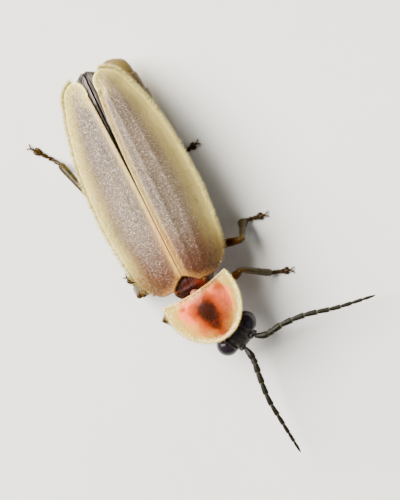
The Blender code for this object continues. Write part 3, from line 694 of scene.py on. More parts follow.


# Neck shield skin: crowded fine pits and granules, a waxy translucent rim, and on the raised beads near the rim a
# near-white painted glint
def paintShield():
    pits, grain = cellsOf(11000), noiseOf(30000)
    edge = ease(markOf("rimGap"), 0.3, 0.04)
    # the tops of the raised beads near the rim painted near-white, as a painted glint
    colour = blend(times(ease(pits, 0.5, 0.2, 0, 0.7), edge), shieldColour(), neckShield["beadGlint"])
    raised = times(pits, plus(times(edge, 0.8), 0.2))
    return {"Base Color": colour, "Roughness": ease(grain, 0.3, 0.7, 0.3, 0.44), "IOR": 1.33,
            "Normal": bumpOf(grain, 0.005, 0.5, bumpOf(raised, -0.04, 0.8)), **fleshy(0.3, 0.12, (1, 0.6, 0.35))}


grid, marks = shieldGrid()
normals = gridNormals(grid, True, upright)
under = grid - normals * (neckShield["thick"] * (0.55 + 0.45 * fade(marks["rimGap"], 0, 0.3)))[..., None]
addPiece("neck_shield", [platePatch(grid, under, marks)], makeMaterial("neckShieldSkin", paintShield),
         ["pronotum"])
forwards = turned(np.array([[0, -1.0, 0]]), neckShield["yaw"], (0, 0, 0))[0]
outwards = unit(np.gradient(grid, axis=0))
coat = [hairPatch(neckShield, grid, normals, marks, course=outwards * 0.8 + forwards * 0.5)]
count = neckShield["fringe"]
places = (rng.uniform(len(grid) - 4, len(grid) - 1.01, count), grid.shape[1] * rng.uniform(0.17, 0.83, count))
coat.append(hairPatch(neckShield, grid, normals, marks, places=places, look="fringeHair"))
shieldHair = makeMaterial("neckShieldHair", hairPaint(neckShield, shieldColour, 0.12))
addPiece("neck_shield_hair", coat, shieldHair)

body = {
    # y, half width, middle height, half height
    "stations": ((-1.85, 0.42, 1.62, 0.3), (-1.4, 0.68, 1.66, 0.5), (-0.7, 0.86, 1.68, 0.6),
                 (0.05, 0.84, 1.7, 0.5), (0.9, 1.26, 1.56, 0.52), (2.0, 1.42, 1.52, 0.52),
                 (2.8, 1.34, 1.48, 0.52), (3.4, 1.12, 1.36, 0.52), (4.1, 1.27, 1.27, 0.56),
                 (4.9, 1.62, 1.24, 0.58), (6.2, 1.76, 1.22, 0.58), (8.0, 1.46, 1.18, 0.52),
                 (9.25, 0.98, 1.12, 0.4), (9.68, 0.74, 1.08, 0.32), (9.92, 0.42, 1.05, 0.2)),
    "neckY": -1.85, "abdomenY": 3.4, "tailY": 9.92, "segments": 8, "lanternFrom": 5, "lean": 0.85, "power": 2.3,
    "hairs": 9000, "hair": {"length": 0.16, "width": 0.009, "lift": 0.2, "spread": 0.35},
    "cloud": (1800, 0.3, 0.7, 4), "gloss": (26000, 0.32, 0.5, 1.5),
    "relief": ((cellsOf, 15000, 0.02, 0.6), (noiseOf, 26000, 0.012, 0.6)),
    # the tail mark lays the edge tone over the tail tip: tan cuticle tinted olive by a painted green reflection
    "layers": (("back", "back", 0.8), ("tail", "edge", 0.85), ("neck", "neck", 0.9), ("groove", "membrane", 0.8),
               ("hindEdge", "membrane", 0.55), ("lantern", "lantern", 1)),
    "dark": tone(46, 31, 20), "light": tone(84, 58, 36), "neck": tone(176, 112, 72),
    # the edge tone is the tail tip's tan, tinted olive as a painted green reflection
    "membrane": tone(122, 88, 54), "back": tone(80, 60, 30), "edge": tone(112, 96, 30),
    "lantern": tone(224, 212, 150), "scale": tone(40, 26, 16), "hairColour": tone(160, 130, 84),
}


# The body as one skin from neck to tail: rings of superellipses through the stations. Each of the eight
# segments of the abdomen swells by 0.05 to its hind edge and steps in; grooves part the plates
def bodyGrid():
    neck, start, end, count = (body[key] for key in ("neckY", "abdomenY", "tailY", "segments"))
    shares = np.array([0.0, 0.02, 0.06, 0.13, 0.24, 0.38, 0.52, 0.66, 0.78, 0.87, 0.93, 0.965, 0.985])
    long = (end - start) / count
    tail = start + long * (np.arange(count)[:, None] + shares).ravel()
    tip = end + np.array([0.0, 0.03, 0.055, 0.07, 0.078])
    y = np.concatenate([np.linspace(neck, start - 0.04, 130), tail, tip])
    wide, middle, high = profileAt(body["stations"], np.clip(y, neck, end))
    share = np.append(np.zeros(130), np.append(np.tile(shares, count), np.ones(5)))
    inTail = y >= start
    swell = np.where(inTail, 0.965 + 0.055 * share**0.8 - 0.06 * fade(share, 0.955, 0.99), 1.0)
    close = np.sqrt(np.maximum(1 - np.clip((y - end + 0.12) / 0.2, 0, 1) ** 2, 0.004))
    front = np.sqrt(np.maximum(1 - np.clip((-1.6 - y) / 0.26, 0, 1) ** 2, 0.02))
    wide, high = (r * swell * close * front for r in (wide, high))
    centre = neckShield["at"][0] * fade(y, 0.6, -0.1) + math.tan(neckShield["yaw"]) * np.maximum(0, -y)
    centre = centre + body["lean"] * np.maximum(0, (y - 5) / 5) ** 1.5
    turn = (np.arange(96) + 0.5) / 96 * 2 * math.pi
    c, s = (np.sign(wave) * np.abs(wave) ** (2 / body["power"]) for wave in (np.cos(turn), np.sin(turn)))
    y2, inTail, share = y[:, None], inTail[:, None], share[:, None]
    # degrees from the middle of the back, 180 on the belly
    side = np.abs(np.degrees((turn + math.pi / 2) % (2 * math.pi)) - 180)[None] + 0 * y2
    pleat = bell(side, 108, 7) * inTail
    lines = 0.045 * bell(y2, 0.06, 0.07) + 0.04 * bell(y2, 1.72 + 0.004 * (side - 90), 0.05) * (side > 60)
    lines = lines + 0.035 * bell(y2, 3.33, 0.06)
    lines = lines + 0.03 * bell(side, 178, 3) * fade(y2, 0.1, 0.5) * fade(y2, 3.2, 2.6)
    lines = lines + 0.05 * bell(side, 76, 6) * (y2 > -0.1) * ~inTail + 0.05 * pleat
    lines = lines + 0.02 * bell(y2, 0.55 + 0.012 * (side - 60), 0.04) * (side > 70) * (side < 140)
    scale = 1 - lines + 0.008 * ripple(y2, side / 60, 1.1, 6)
    x, z = centre[:, None] + wide[:, None] * c * scale, middle[:, None] + high[:, None] * s * scale
    glow = (y2 > start + long * body["lanternFrom"]) * fade(side, 96, 112) * (y2 < end - 0.25)
    marks = {"lantern": glow * (1 - 0.8 * bell(share, 1.0, 0.04)), "tail": fade(y2, 8.2, 9.6) + 0 * side,
             "neck": fade(y2, 0.05, -0.15) + 0 * side, "back": fade(side, 104, 84) * inTail,
             "groove": np.clip(lines * 22, 0, 1),
             "hindEdge": np.where(inTail, fade(share, 0.8, 0.97), 0) + 0 * side}
    return np.stack([x, y2 + 0 * x, z], -1), marks


bodyColour = cloudColour(body)


# Body skin: leathery, with small darker scales of relief and a satin gloss
def paintBody():
    inputs = skinPaint(body, bodyColour)()
    scales = ease(cellsOf(15000), 0.2, 0.6, 0, 0.3)
    return {**inputs, "Base Color": blend(scales, inputs["Base Color"], body["scale"]), **fleshy(0.15, 0.08)}


grid, marks = bodyGrid()
addPiece("body_skin", [closedPatch(grid, marks)], makeMaterial("bodySkin", paintBody),
         ["prothorax", "thorax", "abdomen", "lantern"])
addPiece("body_hair", [hairPatch(body, grid, gridNormals(grid, True), marks)],
         makeMaterial("bodyHair", hairPaint(body, bodyColour, 0.7)))

scutellum = {
    "outline": ((0.06, -0.26), (0.55, -0.18), (0.8, 0.06), (0.7, 0.27), (0.48, 0.46), (0.3, 0.63), (0.05, 0.72),
                (-0.2, 0.63), (-0.37, 0.46), (-0.58, 0.27), (-0.68, 0.06), (-0.5, -0.18)),
    "middle": (0.06, 0.18), "z": 2.87, "dome": 0.11, "thick": 0.12,
    "saddle": ((0.05, 0.5, 1.9), (0.05, 0.38, 2.2), (0.05, 0.22, 2.5), (0.06, 0.16, 2.86)),
    "knobs": (((0.64, 0.12, 2.8), (0.74, 0.15, 2.86), (0.84, 0.17, 2.84)),
              ((-0.48, 0.1, 2.8), (-0.57, 0.14, 2.86), (-0.67, 0.15, 2.84))),
    "lobe": ((-0.1, -0.14, 2.76), (0.08, -0.14, 2.8), (0.26, -0.12, 2.76)),
    "hairs": 70, "hair": {"length": 0.12, "width": 0.008, "lift": 0.3, "spread": 0.6},
    "cloud": (5000, 0.35, 0.7, 4), "gloss": (22000, 0.4, 0.6, 1.2),
    "relief": ((noiseOf, 8000, 0.03, 0.7), (cellsOf, 16000, 0.012, 0.6)),
    "layers": (("red", "red", 1), ("knob", "amber", 1), ("lobe", "pink", 1)),
    "dark": tone(44, 14, 6), "light": tone(62, 24, 12), "red": tone(92, 24, 6), "amber": tone(84, 42, 8),
    "pink": tone(150, 84, 62), "hairColour": tone(150, 110, 80),
}


# The scutellum: rings from its middle to its smooth outline, domed as an ellipsoid, with a low middle keel.
# It stands on a saddle that goes down to the thorax, with a round knob on each side for the case's hinge
def scutellumPatches():
    outline = smoothLine(list(scutellum["outline"]) + [scutellum["outline"][0]], 10)[:-1]
    centre = np.array(scutellum["middle"])
    reach = np.linspace(0.03, 1, 30)[:, None]
    plan = centre + reach[..., None] * (outline - centre)
    x, y = plan[..., 0], plan[..., 1]
    bulge = np.maximum(0, 1 - ((x - 0.06) / 0.85) ** 2 - ((y - 0.2) / 0.62) ** 2)
    z = scutellum["z"] + scutellum["dome"] * bulge - 0.16 * fade(y, 0.12, -0.15)
    z = z - 0.05 * fade(planDistance(x, y, outline), 0.09, 0.0) ** 2
    z = z + 0.02 * ripple(x, y, 0.35, 2) * (1 - reach ** 4) + 0.03 * bell(x, 0.05, 0.05) * fade(y, 0.1, 0.4)
    grid = np.stack([x, y, z], -1)
    marks = {"red": fade(x, 0.1, 0.55) * fade(y, 0.5, 0.2)}
    patches = [platePatch(grid, grid - np.array([0, 0, scutellum["thick"]]), marks)]
    saddle, share = limbGrid(scutellum["saddle"], ((0, 0.8), (0.5, 0.6), (1, 0.5)), 28, 24, 0.42, (0.1, 0.03),
                             (0, 1, 0))
    patches.append(closedPatch(saddle, {"red": fade(share, 0.2, 0.6)[:, None] * 0.4}))
    for places in scutellum["knobs"]:
        knob = limbGrid(places, ((0, 0.09), (0.5, 0.115), (1, 0.09)), 20, 20, 1.0, (0.45, 0.45))[0]
        patches.append(closedPatch(knob, {"knob": 1.0}))
    lobe = limbGrid(scutellum["lobe"], ((0, 0.1), (0.5, 0.15), (1, 0.1)), 20, 20, 0.6, (0.4, 0.4))[0]
    patches.append(closedPatch(lobe, {"lobe": 1.0}))
    return patches, grid, marks


scutellumColour = cloudColour(scutellum)
patches, grid, marks = scutellumPatches()
addPiece("scutellum_plate", patches, makeMaterial("scutellumSkin", skinPaint(scutellum, scutellumColour)),
         ["scutellum"])
backwards = np.broadcast_to(np.array([0.15, 1.0, 0]), grid.shape)
coat = [hairPatch(scutellum, grid, gridNormals(grid, True, upright), marks, course=backwards)]
addPiece("scutellum_hair", coat, makeMaterial("scutellumHair", hairPaint(scutellum, scutellumColour, 0.7)))

head = {
    "yaw": math.radians(19.4), "neckAt": (-0.11, -1.34, 0), "eyeLineY": -1.24, "z": 1.57,
    "halfWidth": 0.74, "halfLong": 0.6, "halfHigh": 0.46, "eyeX": 0.6, "eyeRadius": 0.465,
    "feelerRoots": ((0.337, -1.80, 1.66), (-0.285, -1.81, 1.66)),
    "hairs": 800, "hair": {"length": 0.1, "width": 0.007, "lift": 0.3, "spread": 0.6},
    "cloud": (5000, 0.35, 0.75, 4), "gloss": (34000, 0.24, 0.4, 1.46),
    "relief": ((noiseOf, 34000, 0.008, 0.5), (cellsOf, 19000, 0.03, 0.8)),
    "layers": (("frons", "frons", 0.7), ("lip", "lip", 0.8), ("membrane", "membrane", 1)),
    "dark": tone(20, 16, 14), "light": tone(27, 21, 20), "frons": tone(40, 32, 24), "lip": tone(52, 32, 18),
    "membrane": tone(96, 62, 40), "hairColour": tone(96, 84, 66),
    "eyeDark": tone(20, 14, 20), "eyeViolet": tone(36, 27, 36),
}


# From the head's own frame, where the shield is already turned, to the body's frame
def headPlace(points):
    inShield = turned(np.asarray(points, float), head["yaw"], head["neckAt"])
    return turned(inShield, neckShield["yaw"], neckShield["at"])


# The head: rings round the line from mouth to neck, of radius sin, narrower in front by 0.12, with a hollow
# forehead between two low brows, and a fine groove down its middle
def headGrid():
    turn = np.linspace(0.03, 0.985, 90) * math.pi
    around = (np.arange(96) + 0.5) / 96 * 2 * math.pi
    along, ring = -np.cos(turn)[:, None], np.sin(turn)[:, None]
    brow = 1 - 0.12 * np.maximum(0, -along)
    x = ring * np.cos(around) * head["halfWidth"] * brow
    y = along * head["halfLong"] + 0 * x
    z = ring * np.sin(around) * head["halfHigh"]
    top = fade(z, 0, 0.2)
    z = z - top * 0.09 * oval(x, y, (0, -0.3), (0.2, 0.26), 0.6)
    z = z + top * 0.035 * oval(np.abs(x), y, (0.24, -0.3), (0.1, 0.2), 0.7)
    z = z - top * 0.02 * bell(x, 0, 0.02) * fade(y, -0.4, -0.1)
    y = y - 0.1 * fade(-z, 0.0, 0.3) * fade(-y, 0.3, 0.55)
    marks = {"frons": top * fade(-y, -0.2, 0.35), "lip": fade(-z, 0.1, 0.34) * fade(-y, 0.2, 0.5)}
    return headPlace(np.stack([x, y + head["eyeLineY"], z + head["z"]], -1)), marks


# A ring round an eye or a feeler's socket: a tube of one radius round a circle across an axis
def ringPatch(centre, axis, radius, thick, raised, flat):
    axis = unit(np.array(axis, float))
    first = unit(np.cross(axis, upright))
    second = np.cross(axis, first)
    turn, small = (np.arange(n) / n * 2 * math.pi for n in (48, 12))
    out = np.cos(turn)[:, None, None] * first + np.sin(turn)[:, None, None] * second
    grid = (np.array(centre) + out * (radius + thick * np.cos(small)[None, :, None])
            + axis * thick * flat * np.sin(small)[None, :, None])
    ids = np.arange(grid.shape[0] * 12).reshape(-1, 12)
    over = np.roll(ids, -1, 1)
    quads = np.stack([ids, over, np.roll(over, -1, 0), np.roll(ids, -1, 0)], -1).reshape(-1, 4)
    points = headPlace(grid.reshape(-1, 3))
    return faceOut({"points": points, "quads": quads, "tris": np.zeros((0, 3), int),
                    "marks": {"frons": np.full(len(points), raised)}})


headColour = cloudColour(head)
headMaterial = makeMaterial("headSkin", skinPaint(head, headColour))
grid, marks = headGrid()
neck = limbGrid([(0, -1.0, 1.56), (0, -0.7, 1.56), (0, -0.2, 1.58)], ((0, 0.42), (0.5, 0.46), (1, 0.42)),
                40, 30, 0.85, (0.03, 0.03))[0]
neck = headPlace(neck)
folds = 0.02 * np.sin(np.linspace(0, 38, len(neck)))[:, None, None]
patches = [closedPatch(grid, marks), closedPatch(neck + folds * gridNormals(neck, True), {"membrane": 1.0})]
for word, side in bothSides:
    centre = (side * (head["eyeX"] - 0.13), head["eyeLineY"], head["z"])
    patches.append(ringPatch(centre, (side, 0, 0), 0.44, 0.035, 0.4, 1.6))
for root in head["feelerRoots"]:
    patches.append(ringPatch(root, (root[0] * 0.5, -1.0, 0.15), 0.125, 0.04, 0.3, 1.8))
addPiece("head_capsule", patches, headMaterial, ["head"])
addPiece("head_hair", [hairPatch(head, grid, gridNormals(grid, True), marks)],
         makeMaterial("headHair", hairPaint(head, headColour, 0.4, 1.2)))


# An eye: a ball drawn as rings of radius sin
def eyeGrid(side):
    turn = np.linspace(0.02, 0.98, 64) * math.pi
    around = np.arange(96) / 96 * 2 * math.pi
    x, ring = np.cos(turn)[:, None], np.sin(turn)[:, None]
    ball = np.stack([side * x + 0 * around, ring * np.cos(around), ring * np.sin(around)], -1) * head["eyeRadius"]
    return headPlace(ball + (side * head["eyeX"], head["eyeLineY"], head["z"]))


# Eyes: violet black, each with thousands of fine facets under a clear gloss
def paintEye():
    facets = cellsOf(42000)
    return {"Base Color": blend(ease(facets, 0.2, 0.6), head["eyeDark"], head["eyeViolet"]),
            "Roughness": ease(facets, 0.2, 0.6, 0.2, 0.28), "IOR": 1.35, "Normal": bumpOf(facets, 0.002, 0.4)}


eyeMaterial = makeMaterial("eyeLens", paintEye)
for word, side in bothSides:
    addPiece("eye_" + word + "_lens", [closedPatch(eyeGrid(side))], eyeMaterial, ["eye_" + word])

# The mouth, from the eye line: points, (share, radius) stations, flatness, blunt ends and mark of each plate,
# and points, number of segments and half width of each palp
mouth = {
    "plates": (
        (((0, -0.22, -0.44), (0, -0.38, -0.46), (0, -0.52, -0.42)), ((0, 0.3), (0.5, 0.27), (1, 0.16)),
         0.35, (0.2, 0.25), 0.8),
        (((0, -0.12, -0.52), (0, -0.3, -0.62), (0, -0.44, -0.62)), ((0, 0.24), (0.5, 0.2), (1, 0.12)),
         0.4, (0.2, 0.3), 0.5),
    ),
    "jaw": ((0.17, -0.32, -0.55), (0.2, -0.44, -0.58), (0.13, -0.53, -0.61), (0.04, -0.57, -0.63)),
    "palps": ((((0.2, -0.26, -0.6), (0.33, -0.36, -0.68), (0.38, -0.46, -0.82), (0.36, -0.54, -0.98)), 4, 0.07),
              (((0.08, -0.3, -0.68), (0.12, -0.38, -0.78), (0.13, -0.46, -0.88)), 3, 0.05)),
}


# The mouth: two plates, two curved jaws, and palps of four and three short segments
def mouthPatches():
    def placed(places, side=1):
        return [(side * a, head["eyeLineY"] + b, head["z"] + c) for a, b, c in places]

    patches = []
    for places, stations, flat, blunt, mark in mouth["plates"]:
        plate = limbGrid(placed(places), stations, 24, 22, flat, blunt)[0]
        patches.append(closedPatch(headPlace(plate), {"lip": mark}))
    for word, side in bothSides:
        jaw, share = limbGrid(placed(mouth["jaw"], side), ((0, 0.085), (0.4, 0.07), (0.75, 0.04), (1, 0.012)),
                              16, 30, 0.7)
        patches.append(closedPatch(headPlace(jaw), {"lip": 1.0 - 0.6 * fade(share, 0.6, 1)[:, None]}))
        for places, parts, thick in mouth["palps"]:
            for part in range(parts):
                span = alongLine(placed(places, side),
                                 np.linspace(part / parts - 0.02, (part + 1) / parts, 5).clip(0, 1))
                swell = thick * (1.25 if part == parts - 1 else 0.85 + 0.1 * part)
                stations = ((0, 0.6 * swell), (0.6, swell), (1, 0.8 * swell))
                palp = limbGrid(span, stations, 14, 16, 0.85, (0.15, 0.3))[0]
                patches.append(closedPatch(headPlace(palp), {"lip": 0.35}))
    return patches


addPiece("mouth", mouthPatches(), headMaterial, ["mouthparts"])

feeler = {
    "paths": {
        "right": ((0.74, -3.14, 1.66), (0.84, -3.72, 1.72), (0.74, -4.5, 1.68),
                  (0.64, -5.5, 1.6), (0.7, -6.6, 1.48), (0.8, -8.04, 1.3)),
        "left": ((1.3, -2.87, 1.66), (1.8, -3.04, 1.74), (2.6, -2.96, 1.72),
                 (3.6, -3.03, 1.64), (4.9, -3.34, 1.5), (6.52, -3.59, 1.32)),
    },
    "shares": (1.3, 0.4, 0.9, 1.05, 1.1, 1.1, 1.05, 1.0, 0.9, 0.95, 1.15), "thick": 0.29, "tipThick": 0.13,
    # (share, radius) stations of the first, the middle and the last segments
    "first": ((0, 0.55), (0.3, 0.8), (0.7, 1.02), (1, 0.8)),
    "between": ((0, 0.66), (0.25, 0.86), (0.6, 0.96), (0.85, 1.0), (1, 0.9)),
    "last": ((0, 0.55), (0.3, 0.95), (0.7, 0.75), (1, 0.3)),
    "hairs": 1300, "hair": {"length": 0.075, "width": 0.005, "lift": 0.35, "spread": 0.35},
    "cloud": (7000, 0.35, 0.7, 3), "gloss": (30000, 0.26, 0.44, 1.28), "relief": ((noiseOf, 30000, 0.02, 0.7),),
    "layers": (("ring", "ring", 1),),
    "dark": tone(12, 10, 2), "light": tone(26, 22, 6), "ring": tone(120, 114, 84), "hairColour": tone(42, 37, 8),
}


# A feeler's eleven segments, each a tube that is narrow at its root and widest near its end, and stands
# a little inside the one before. Pale rings mark the ends of the second to the eighth
def feelerGrids(points):
    parts = np.cumsum((0,) + feeler["shares"]) / sum(feeler["shares"])
    grids = []
    for number, (start, end) in enumerate(zip(parts, parts[1:])):
        share = 0.5 - 0.5 * np.cos(np.linspace(0.03, 0.98, 22) * math.pi)
        inside = 0.006 * (number > 0)
        line = alongLine(points, start - inside + (end - start + inside) * share)
        thick = feeler["thick"] + (feeler["tipThick"] - feeler["thick"]) * (number / 10) ** 1.4
        stations = feeler[{0: "first", 10: "last"}.get(number, "between")]
        radius = thick / 2 * profileAt(stations, share)[0] * roundEnds(share, (0.06, 0.06), 0.02)
        ring = fade(share, 0.9, 0.95) * (0.9 if 0 < number < 8 else 0.25)
        grid = tubeGrid(line, radius, radius * 0.82, 18)
        grids.append((grid, {"ring": np.broadcast_to(ring[:, None], grid.shape[:2])}))
    return grids


# The coat of a row of grids of one width: they are joined row to row, with no hair on the cells between two
def chainCoat(values, grids):
    points, normals, course = (np.concatenate([rule(grid) for grid, _ in grids]) for rule in (
        lambda grid: grid, lambda grid: gridNormals(grid, True), lambda grid: np.gradient(grid, axis=0)))
    density = np.ones(points.shape[:2])
    density[np.cumsum([len(grid) for grid, _ in grids]) - 1] = 0
    marks = {key: np.concatenate([marks[key] for _, marks in grids]) for key in grids[0][1]}
    return [hairPatch(values, points, normals, marks, True, density, course)]


feelerColour = cloudColour(feeler)
feelerMaterial = makeMaterial("feelerSkin", skinPaint(feeler, feelerColour))
feelerHair = makeMaterial("feelerHair", hairPaint(feeler, feelerColour, 0.5, 1.18))
for word, points in feeler["paths"].items():
    grids = feelerGrids(points)
    addPiece("feeler_" + word, [closedPatch(grid, marks) for grid, marks in grids], feelerMaterial,
             ["antenna_" + word])
    addPiece("feeler_" + word + "_hair", chainCoat(feeler, grids), feelerHair)

limb = {
    "places": {
        # hip, knee, ankle and end of the foot
        "front_left": ((0.55, -0.62, 0.78), (2.04, -0.2, 1.52), (2.89, -0.88, 0.3), (3.62, -1.13, 0.0)),
        "front_right": ((-0.42, -0.78, 0.78), (-1.86, -0.62, 1.4), (-1.4, -1.25, 0.3), (-1.02, -1.98, 0.0)),
        "middle_left": ((0.78, 1.3, 0.66), (2.66, 0.9, 1.68), (2.78, 1.56, 0.3), (3.7, 1.39, 0.0)),
        "middle_right": ((-0.78, 1.3, 0.66), (-2.24, 0.7, 1.56), (-2.42, 1.08, 0.3), (-2.72, 1.62, 0.0)),
        "hind_left": ((0.85, 2.9, 0.64), (2.1, 3.9, 1.5), (1.62, 5.14, 0.3), (2.47, 5.3, 0.0)),
        "hind_right": ((-0.85, 2.9, 0.64), (-2.15, 4.8, 1.5), (-3.06, 7.08, 0.3), (-3.93, 8.24, 0.0)),
    },
    "rise": {"front": 0.32, "middle": 0.3, "hind": 0.24}, "femur": 0.18, "tibia": 0.15, "tarsus": 0.1,
    "stout": {"middle_right": 1.4}, "flare": {"middle_left": 1.45, "front_left": 1.0}, "claw": 0.028,
    "clawCurve": ((0, 0, 0), (0.08, 0.06, 0.02), (0.15, 0.11, -0.03), (0.17, 0.13, -0.085)),
    "hairs": 700, "hair": {"length": 0.1, "width": 0.0055, "lift": 0.3, "spread": 0.3},
    "hairy": (0, 1, 2, 3, 6, 7, 8, 9, 10),  # the coxa, femur, tibia and foot, without spurs and claws
    "cloud": (4000, 0.35, 0.7, 4), "gloss": (28000, 0.17, 0.3, 1.26),
    "relief": ((noiseOf, 28000, 0.006, 0.5), (cellsOf, 18000, 0.01, 0.5)),
    "layers": (("amber", "amber", 1), ("foot", "foot", 0.7)),
    "dark": tone(36, 27, 0), "light": tone(66, 53, 5), "amber": tone(112, 50, 4), "foot": tone(34, 22, 4),
    "hairColour": tone(70, 56, 10),
}


# A leg's grids. Coxa, femur and tibia are limbs with round ends; the foot is five short limbs on the floor, the
# fourth split into two lobes; two spurs stand at the ankle and two claws curve down from the end
def legGrids(name, hip, knee, ankle, tip):
    hip, knee, ankle, tip = (np.array(p, float) for p in (hip, knee, ankle, tip))
    thigh, shin = knee - hip, ankle - knee
    rise = np.array([0, 0, limb["rise"][name.split("_")[0]]])
    inward = np.array([-0.22 * math.copysign(1, hip[0]), 0, 0])
    bow = np.array([0, 0, 0.05])
    ahead = (tip - ankle) / np.linalg.norm((tip - ankle)[:2])
    aside = np.array([-ahead[1], ahead[0], 0])
    level = ahead * (1, 1, 0)
    stout, flare = limb["stout"].get(name, 1.0), limb["flare"].get(name, 1.1)
    grids = []

    def add(points, stations, amber, flat=1.0, blunt=(0.06, 0.06), foot=0.0, rows=26):
        grid, share = limbGrid(points, stations, 18, rows, flat, blunt)
        grid[..., 2] = np.maximum(grid[..., 2], 0)
        tint = np.interp(share, (0, 0.5, 1), amber)[:, None] + np.zeros(grid.shape[:2])
        grids.append((grid, {"amber": tint, "foot": np.full(grid.shape[:2], foot)}))

    def onFoot(t, radius):
        place = ankle + (tip - ankle) * t
        place[2] = max(ankle[2] * (1 - 2.6 * t) - 0.02, radius)
        return place

    # coxa and trochanter, femur, tibia
    add([hip + inward + rise, hip + inward * 0.6 + rise * 0.4, hip, hip + thigh * 0.03],
        ((0, 0.22), (0.4, 0.24), (0.8, 0.18), (1, 0.12)), (1, 0.9, 0.7), 0.9, (0.2, 0.15))
    add([hip - thigh * 0.02, hip + thigh * 0.14], ((0, 0.1), (0.5, 0.13), (1, 0.1)), (0.9, 0.8, 0.8), 0.9,
        (0.2, 0.2))
    r = limb["femur"] * stout
    add([hip + thigh * 0.06, hip + thigh * 0.5 + bow, knee],
        ((0, 0.55 * r), (0.3, 0.98 * r), (0.65, r), (0.9, 0.8 * r), (1, 0.7 * r)), (1.0, 0.6, 0.1), 0.85,
        (0.05, 0.05), rows=40)
    r = limb["tibia"] * stout
    add([knee - shin * 0.02 + bow * 0.6, knee + shin * 0.5 + bow, ankle],
        ((0, 0.62 * r), (0.12, 0.8 * r), (0.6, 0.95 * r), (0.9, flare * r), (1, 0.82 * flare * r)),
        (0.1, 0, 0), 0.85, (0.04, 0.04), rows=40)
    for side in (1, -1):  # spurs
        start = ankle + aside * side * 0.06
        add([start, start + level * 0.09 - (0, 0, 0.06), start + level * 0.15 - (0, 0, 0.13)],
            ((0, 0.028), (0.5, 0.02), (1, 0.005)), (0.3, 0.3, 0.4), rows=12)
    r = limb["tarsus"] * stout
    for number in range(3):
        add([onFoot((number + a) / 5, 0.8 * r) for a in (-0.06, 0.45, 0.97)],
            ((0, 0.5 * r), (0.6, 0.88 * r), (0.85, r), (1, 0.8 * r)), (0.1, 0.1, 0.1), 0.85,
            (0.12, 0.14), 0.5, 18)
    for side in (1, -1):  # lobes of the fourth segment
        spread = aside * side * 0.06
        add([onFoot(0.6, 0.06) + spread * 0.2, onFoot(0.72, 0.055) + spread, onFoot(0.88, 0.05) + spread * 1.8],
            ((0, 0.05 * stout), (0.5, 0.08 * stout), (1, 0.065 * stout)), (0.2, 0.3, 0.3), 0.75,
            (0.15, 0.3), 1.0, 18)
    add([onFoot(0.66, 0.1), onFoot(0.84, 0.12), onFoot(1.0, 0.09)],
        ((0, 0.035), (0.6, 0.055), (1, 0.06)), (0.1, 0.1, 0.1), 0.9, (0.1, 0.2), 0.6, 20)
    r = limb["claw"]
    for side in (1, -1):
        curve = [onFoot(0.98, 0.09) + level * far + aside * side * wide + (0, 0, up)
                 for far, wide, up in limb["clawCurve"]]
        add(curve, ((0, 1.1 * r), (0.4, r), (0.75, 0.6 * r), (1, 0.15 * r)), (0.3, 0.2, 0.2), rows=20)
    return grids


legColour = cloudColour(limb)
legMaterial = makeMaterial("legSkin", skinPaint(limb, legColour))
legHair = makeMaterial("legHair", hairPaint(limb, legColour, 0.35, 1.15))
for name, places in limb["places"].items():
    grids = legGrids(name, *places)
    addPiece("limb_" + name, [closedPatch(grid, marks) for grid, marks in grids], legMaterial,
             ["leg_" + name])
    addPiece("limb_" + name + "_hair", chainCoat(limb, [grids[k] for k in limb["hairy"]]), legHair)
print("insect made")

stage = {
    "half": 0.6, "floor": tone(232, 230, 224), "mottle": tone(226, 224, 218),
    "sky": tone(236, 238, 240), "world": 0.16,
    # how far to the picture's right, up and out, in millimetres, then size, power and colour
    "lights": {"key": ((-275, 90, 205), 310, 8.2, (1.0, 0.97, 0.93)),
               "fill": ((260, -120, 300), 420, 0.3, (0.96, 0.98, 1.0))},
    "tilt": math.radians(10.5), "leftAcross": 0.895, "leftUp": 0.447, "target": (1.16, 1.287, 3.2),
    "distance": 200.0, "field": 20.44, "sensor": 36,
}


# The floor: a pale sheet with a hardly visible mottle
def paintFloor():
    colour = blend(ease(noiseOf(60, detail=5), 0.3, 0.7), stage["floor"], stage["mottle"])
    return {"Base Color": colour, "Roughness": 0.85, "Normal": bumpOf(noiseOf(900), 0.02, 0.2)}


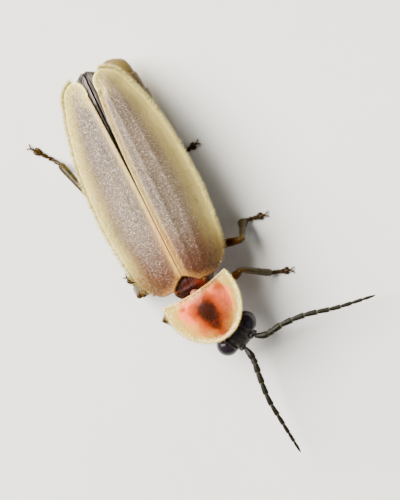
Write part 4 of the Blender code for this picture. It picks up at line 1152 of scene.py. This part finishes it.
floorMesh = bpy.data.meshes.new("floor")
corners = [(x * stage["half"], y * stage["half"], 0) for x, y in ((-1, -1), (1, -1), (1, 1), (-1, 1))]
floorMesh.from_pydata(corners, [], [(0, 1, 2, 3)])
floorMesh.materials.append(makeMaterial("paleFloor", paintFloor))
floor = bpy.data.objects.new("floor", floorMesh)
bpy.context.scene.collection.objects.link(floor)

# The camera looks down 10.5 degrees off the upright from the animal's left, turned so that the body lies as
# in the photo. Its axes are found from the directions of the body's left and forward in the picture
tilt, leftAcross, leftUp = stage["tilt"], stage["leftAcross"], stage["leftUp"]
towards = np.array([math.sin(tilt), 0, math.cos(tilt)])
leftSeen = np.array([math.cos(tilt), 0, -math.sin(tilt)])
tailwards = np.array([0, 1.0, 0])
right, up = leftAcross * leftSeen - leftUp * tailwards, leftUp * leftSeen + leftAcross * tailwards


# Turns an object to look along minus the third axis, from a place given in body millimetres
def aimed(thing, place, axes):
    thing.matrix_world = Matrix(np.block([[np.stack(axes, 1), (place * mm + bodyOrigin)[:, None]],
                                          [np.zeros((1, 3)), np.ones((1, 1))]]).tolist())
    bpy.context.scene.collection.objects.link(thing)
    return thing


lens = bpy.data.cameras.new("camera")
lens.sensor_width = stage["sensor"]
lens.lens = stage["sensor"] * stage["distance"] / stage["field"]
lens.clip_start, lens.clip_end = 0.01, 10
target = np.array(stage["target"])
bpy.context.scene.camera = aimed(bpy.data.objects.new("camera", lens), target + towards * stage["distance"],
                                 (right, up, towards))
for name, (reach, size, power, colour) in stage["lights"].items():
    lamp = bpy.data.lights.new(name, "AREA")
    lamp.size, lamp.energy, lamp.color = size * mm, power, colour
    out = reach[0] * right + reach[1] * up + reach[2] * towards
    back = unit(out)
    aside = unit(np.cross(tailwards, back))
    aimed(bpy.data.objects.new(name, lamp), target + out, (aside, np.cross(back, aside), back))
world = bpy.data.worlds.new("studio")
world.use_nodes = True
background = world.node_tree.nodes["Background"]
background.inputs["Color"].default_value = stage["sky"]
background.inputs["Strength"].default_value = stage["world"]
bpy.context.scene.world = world
print("stage set")
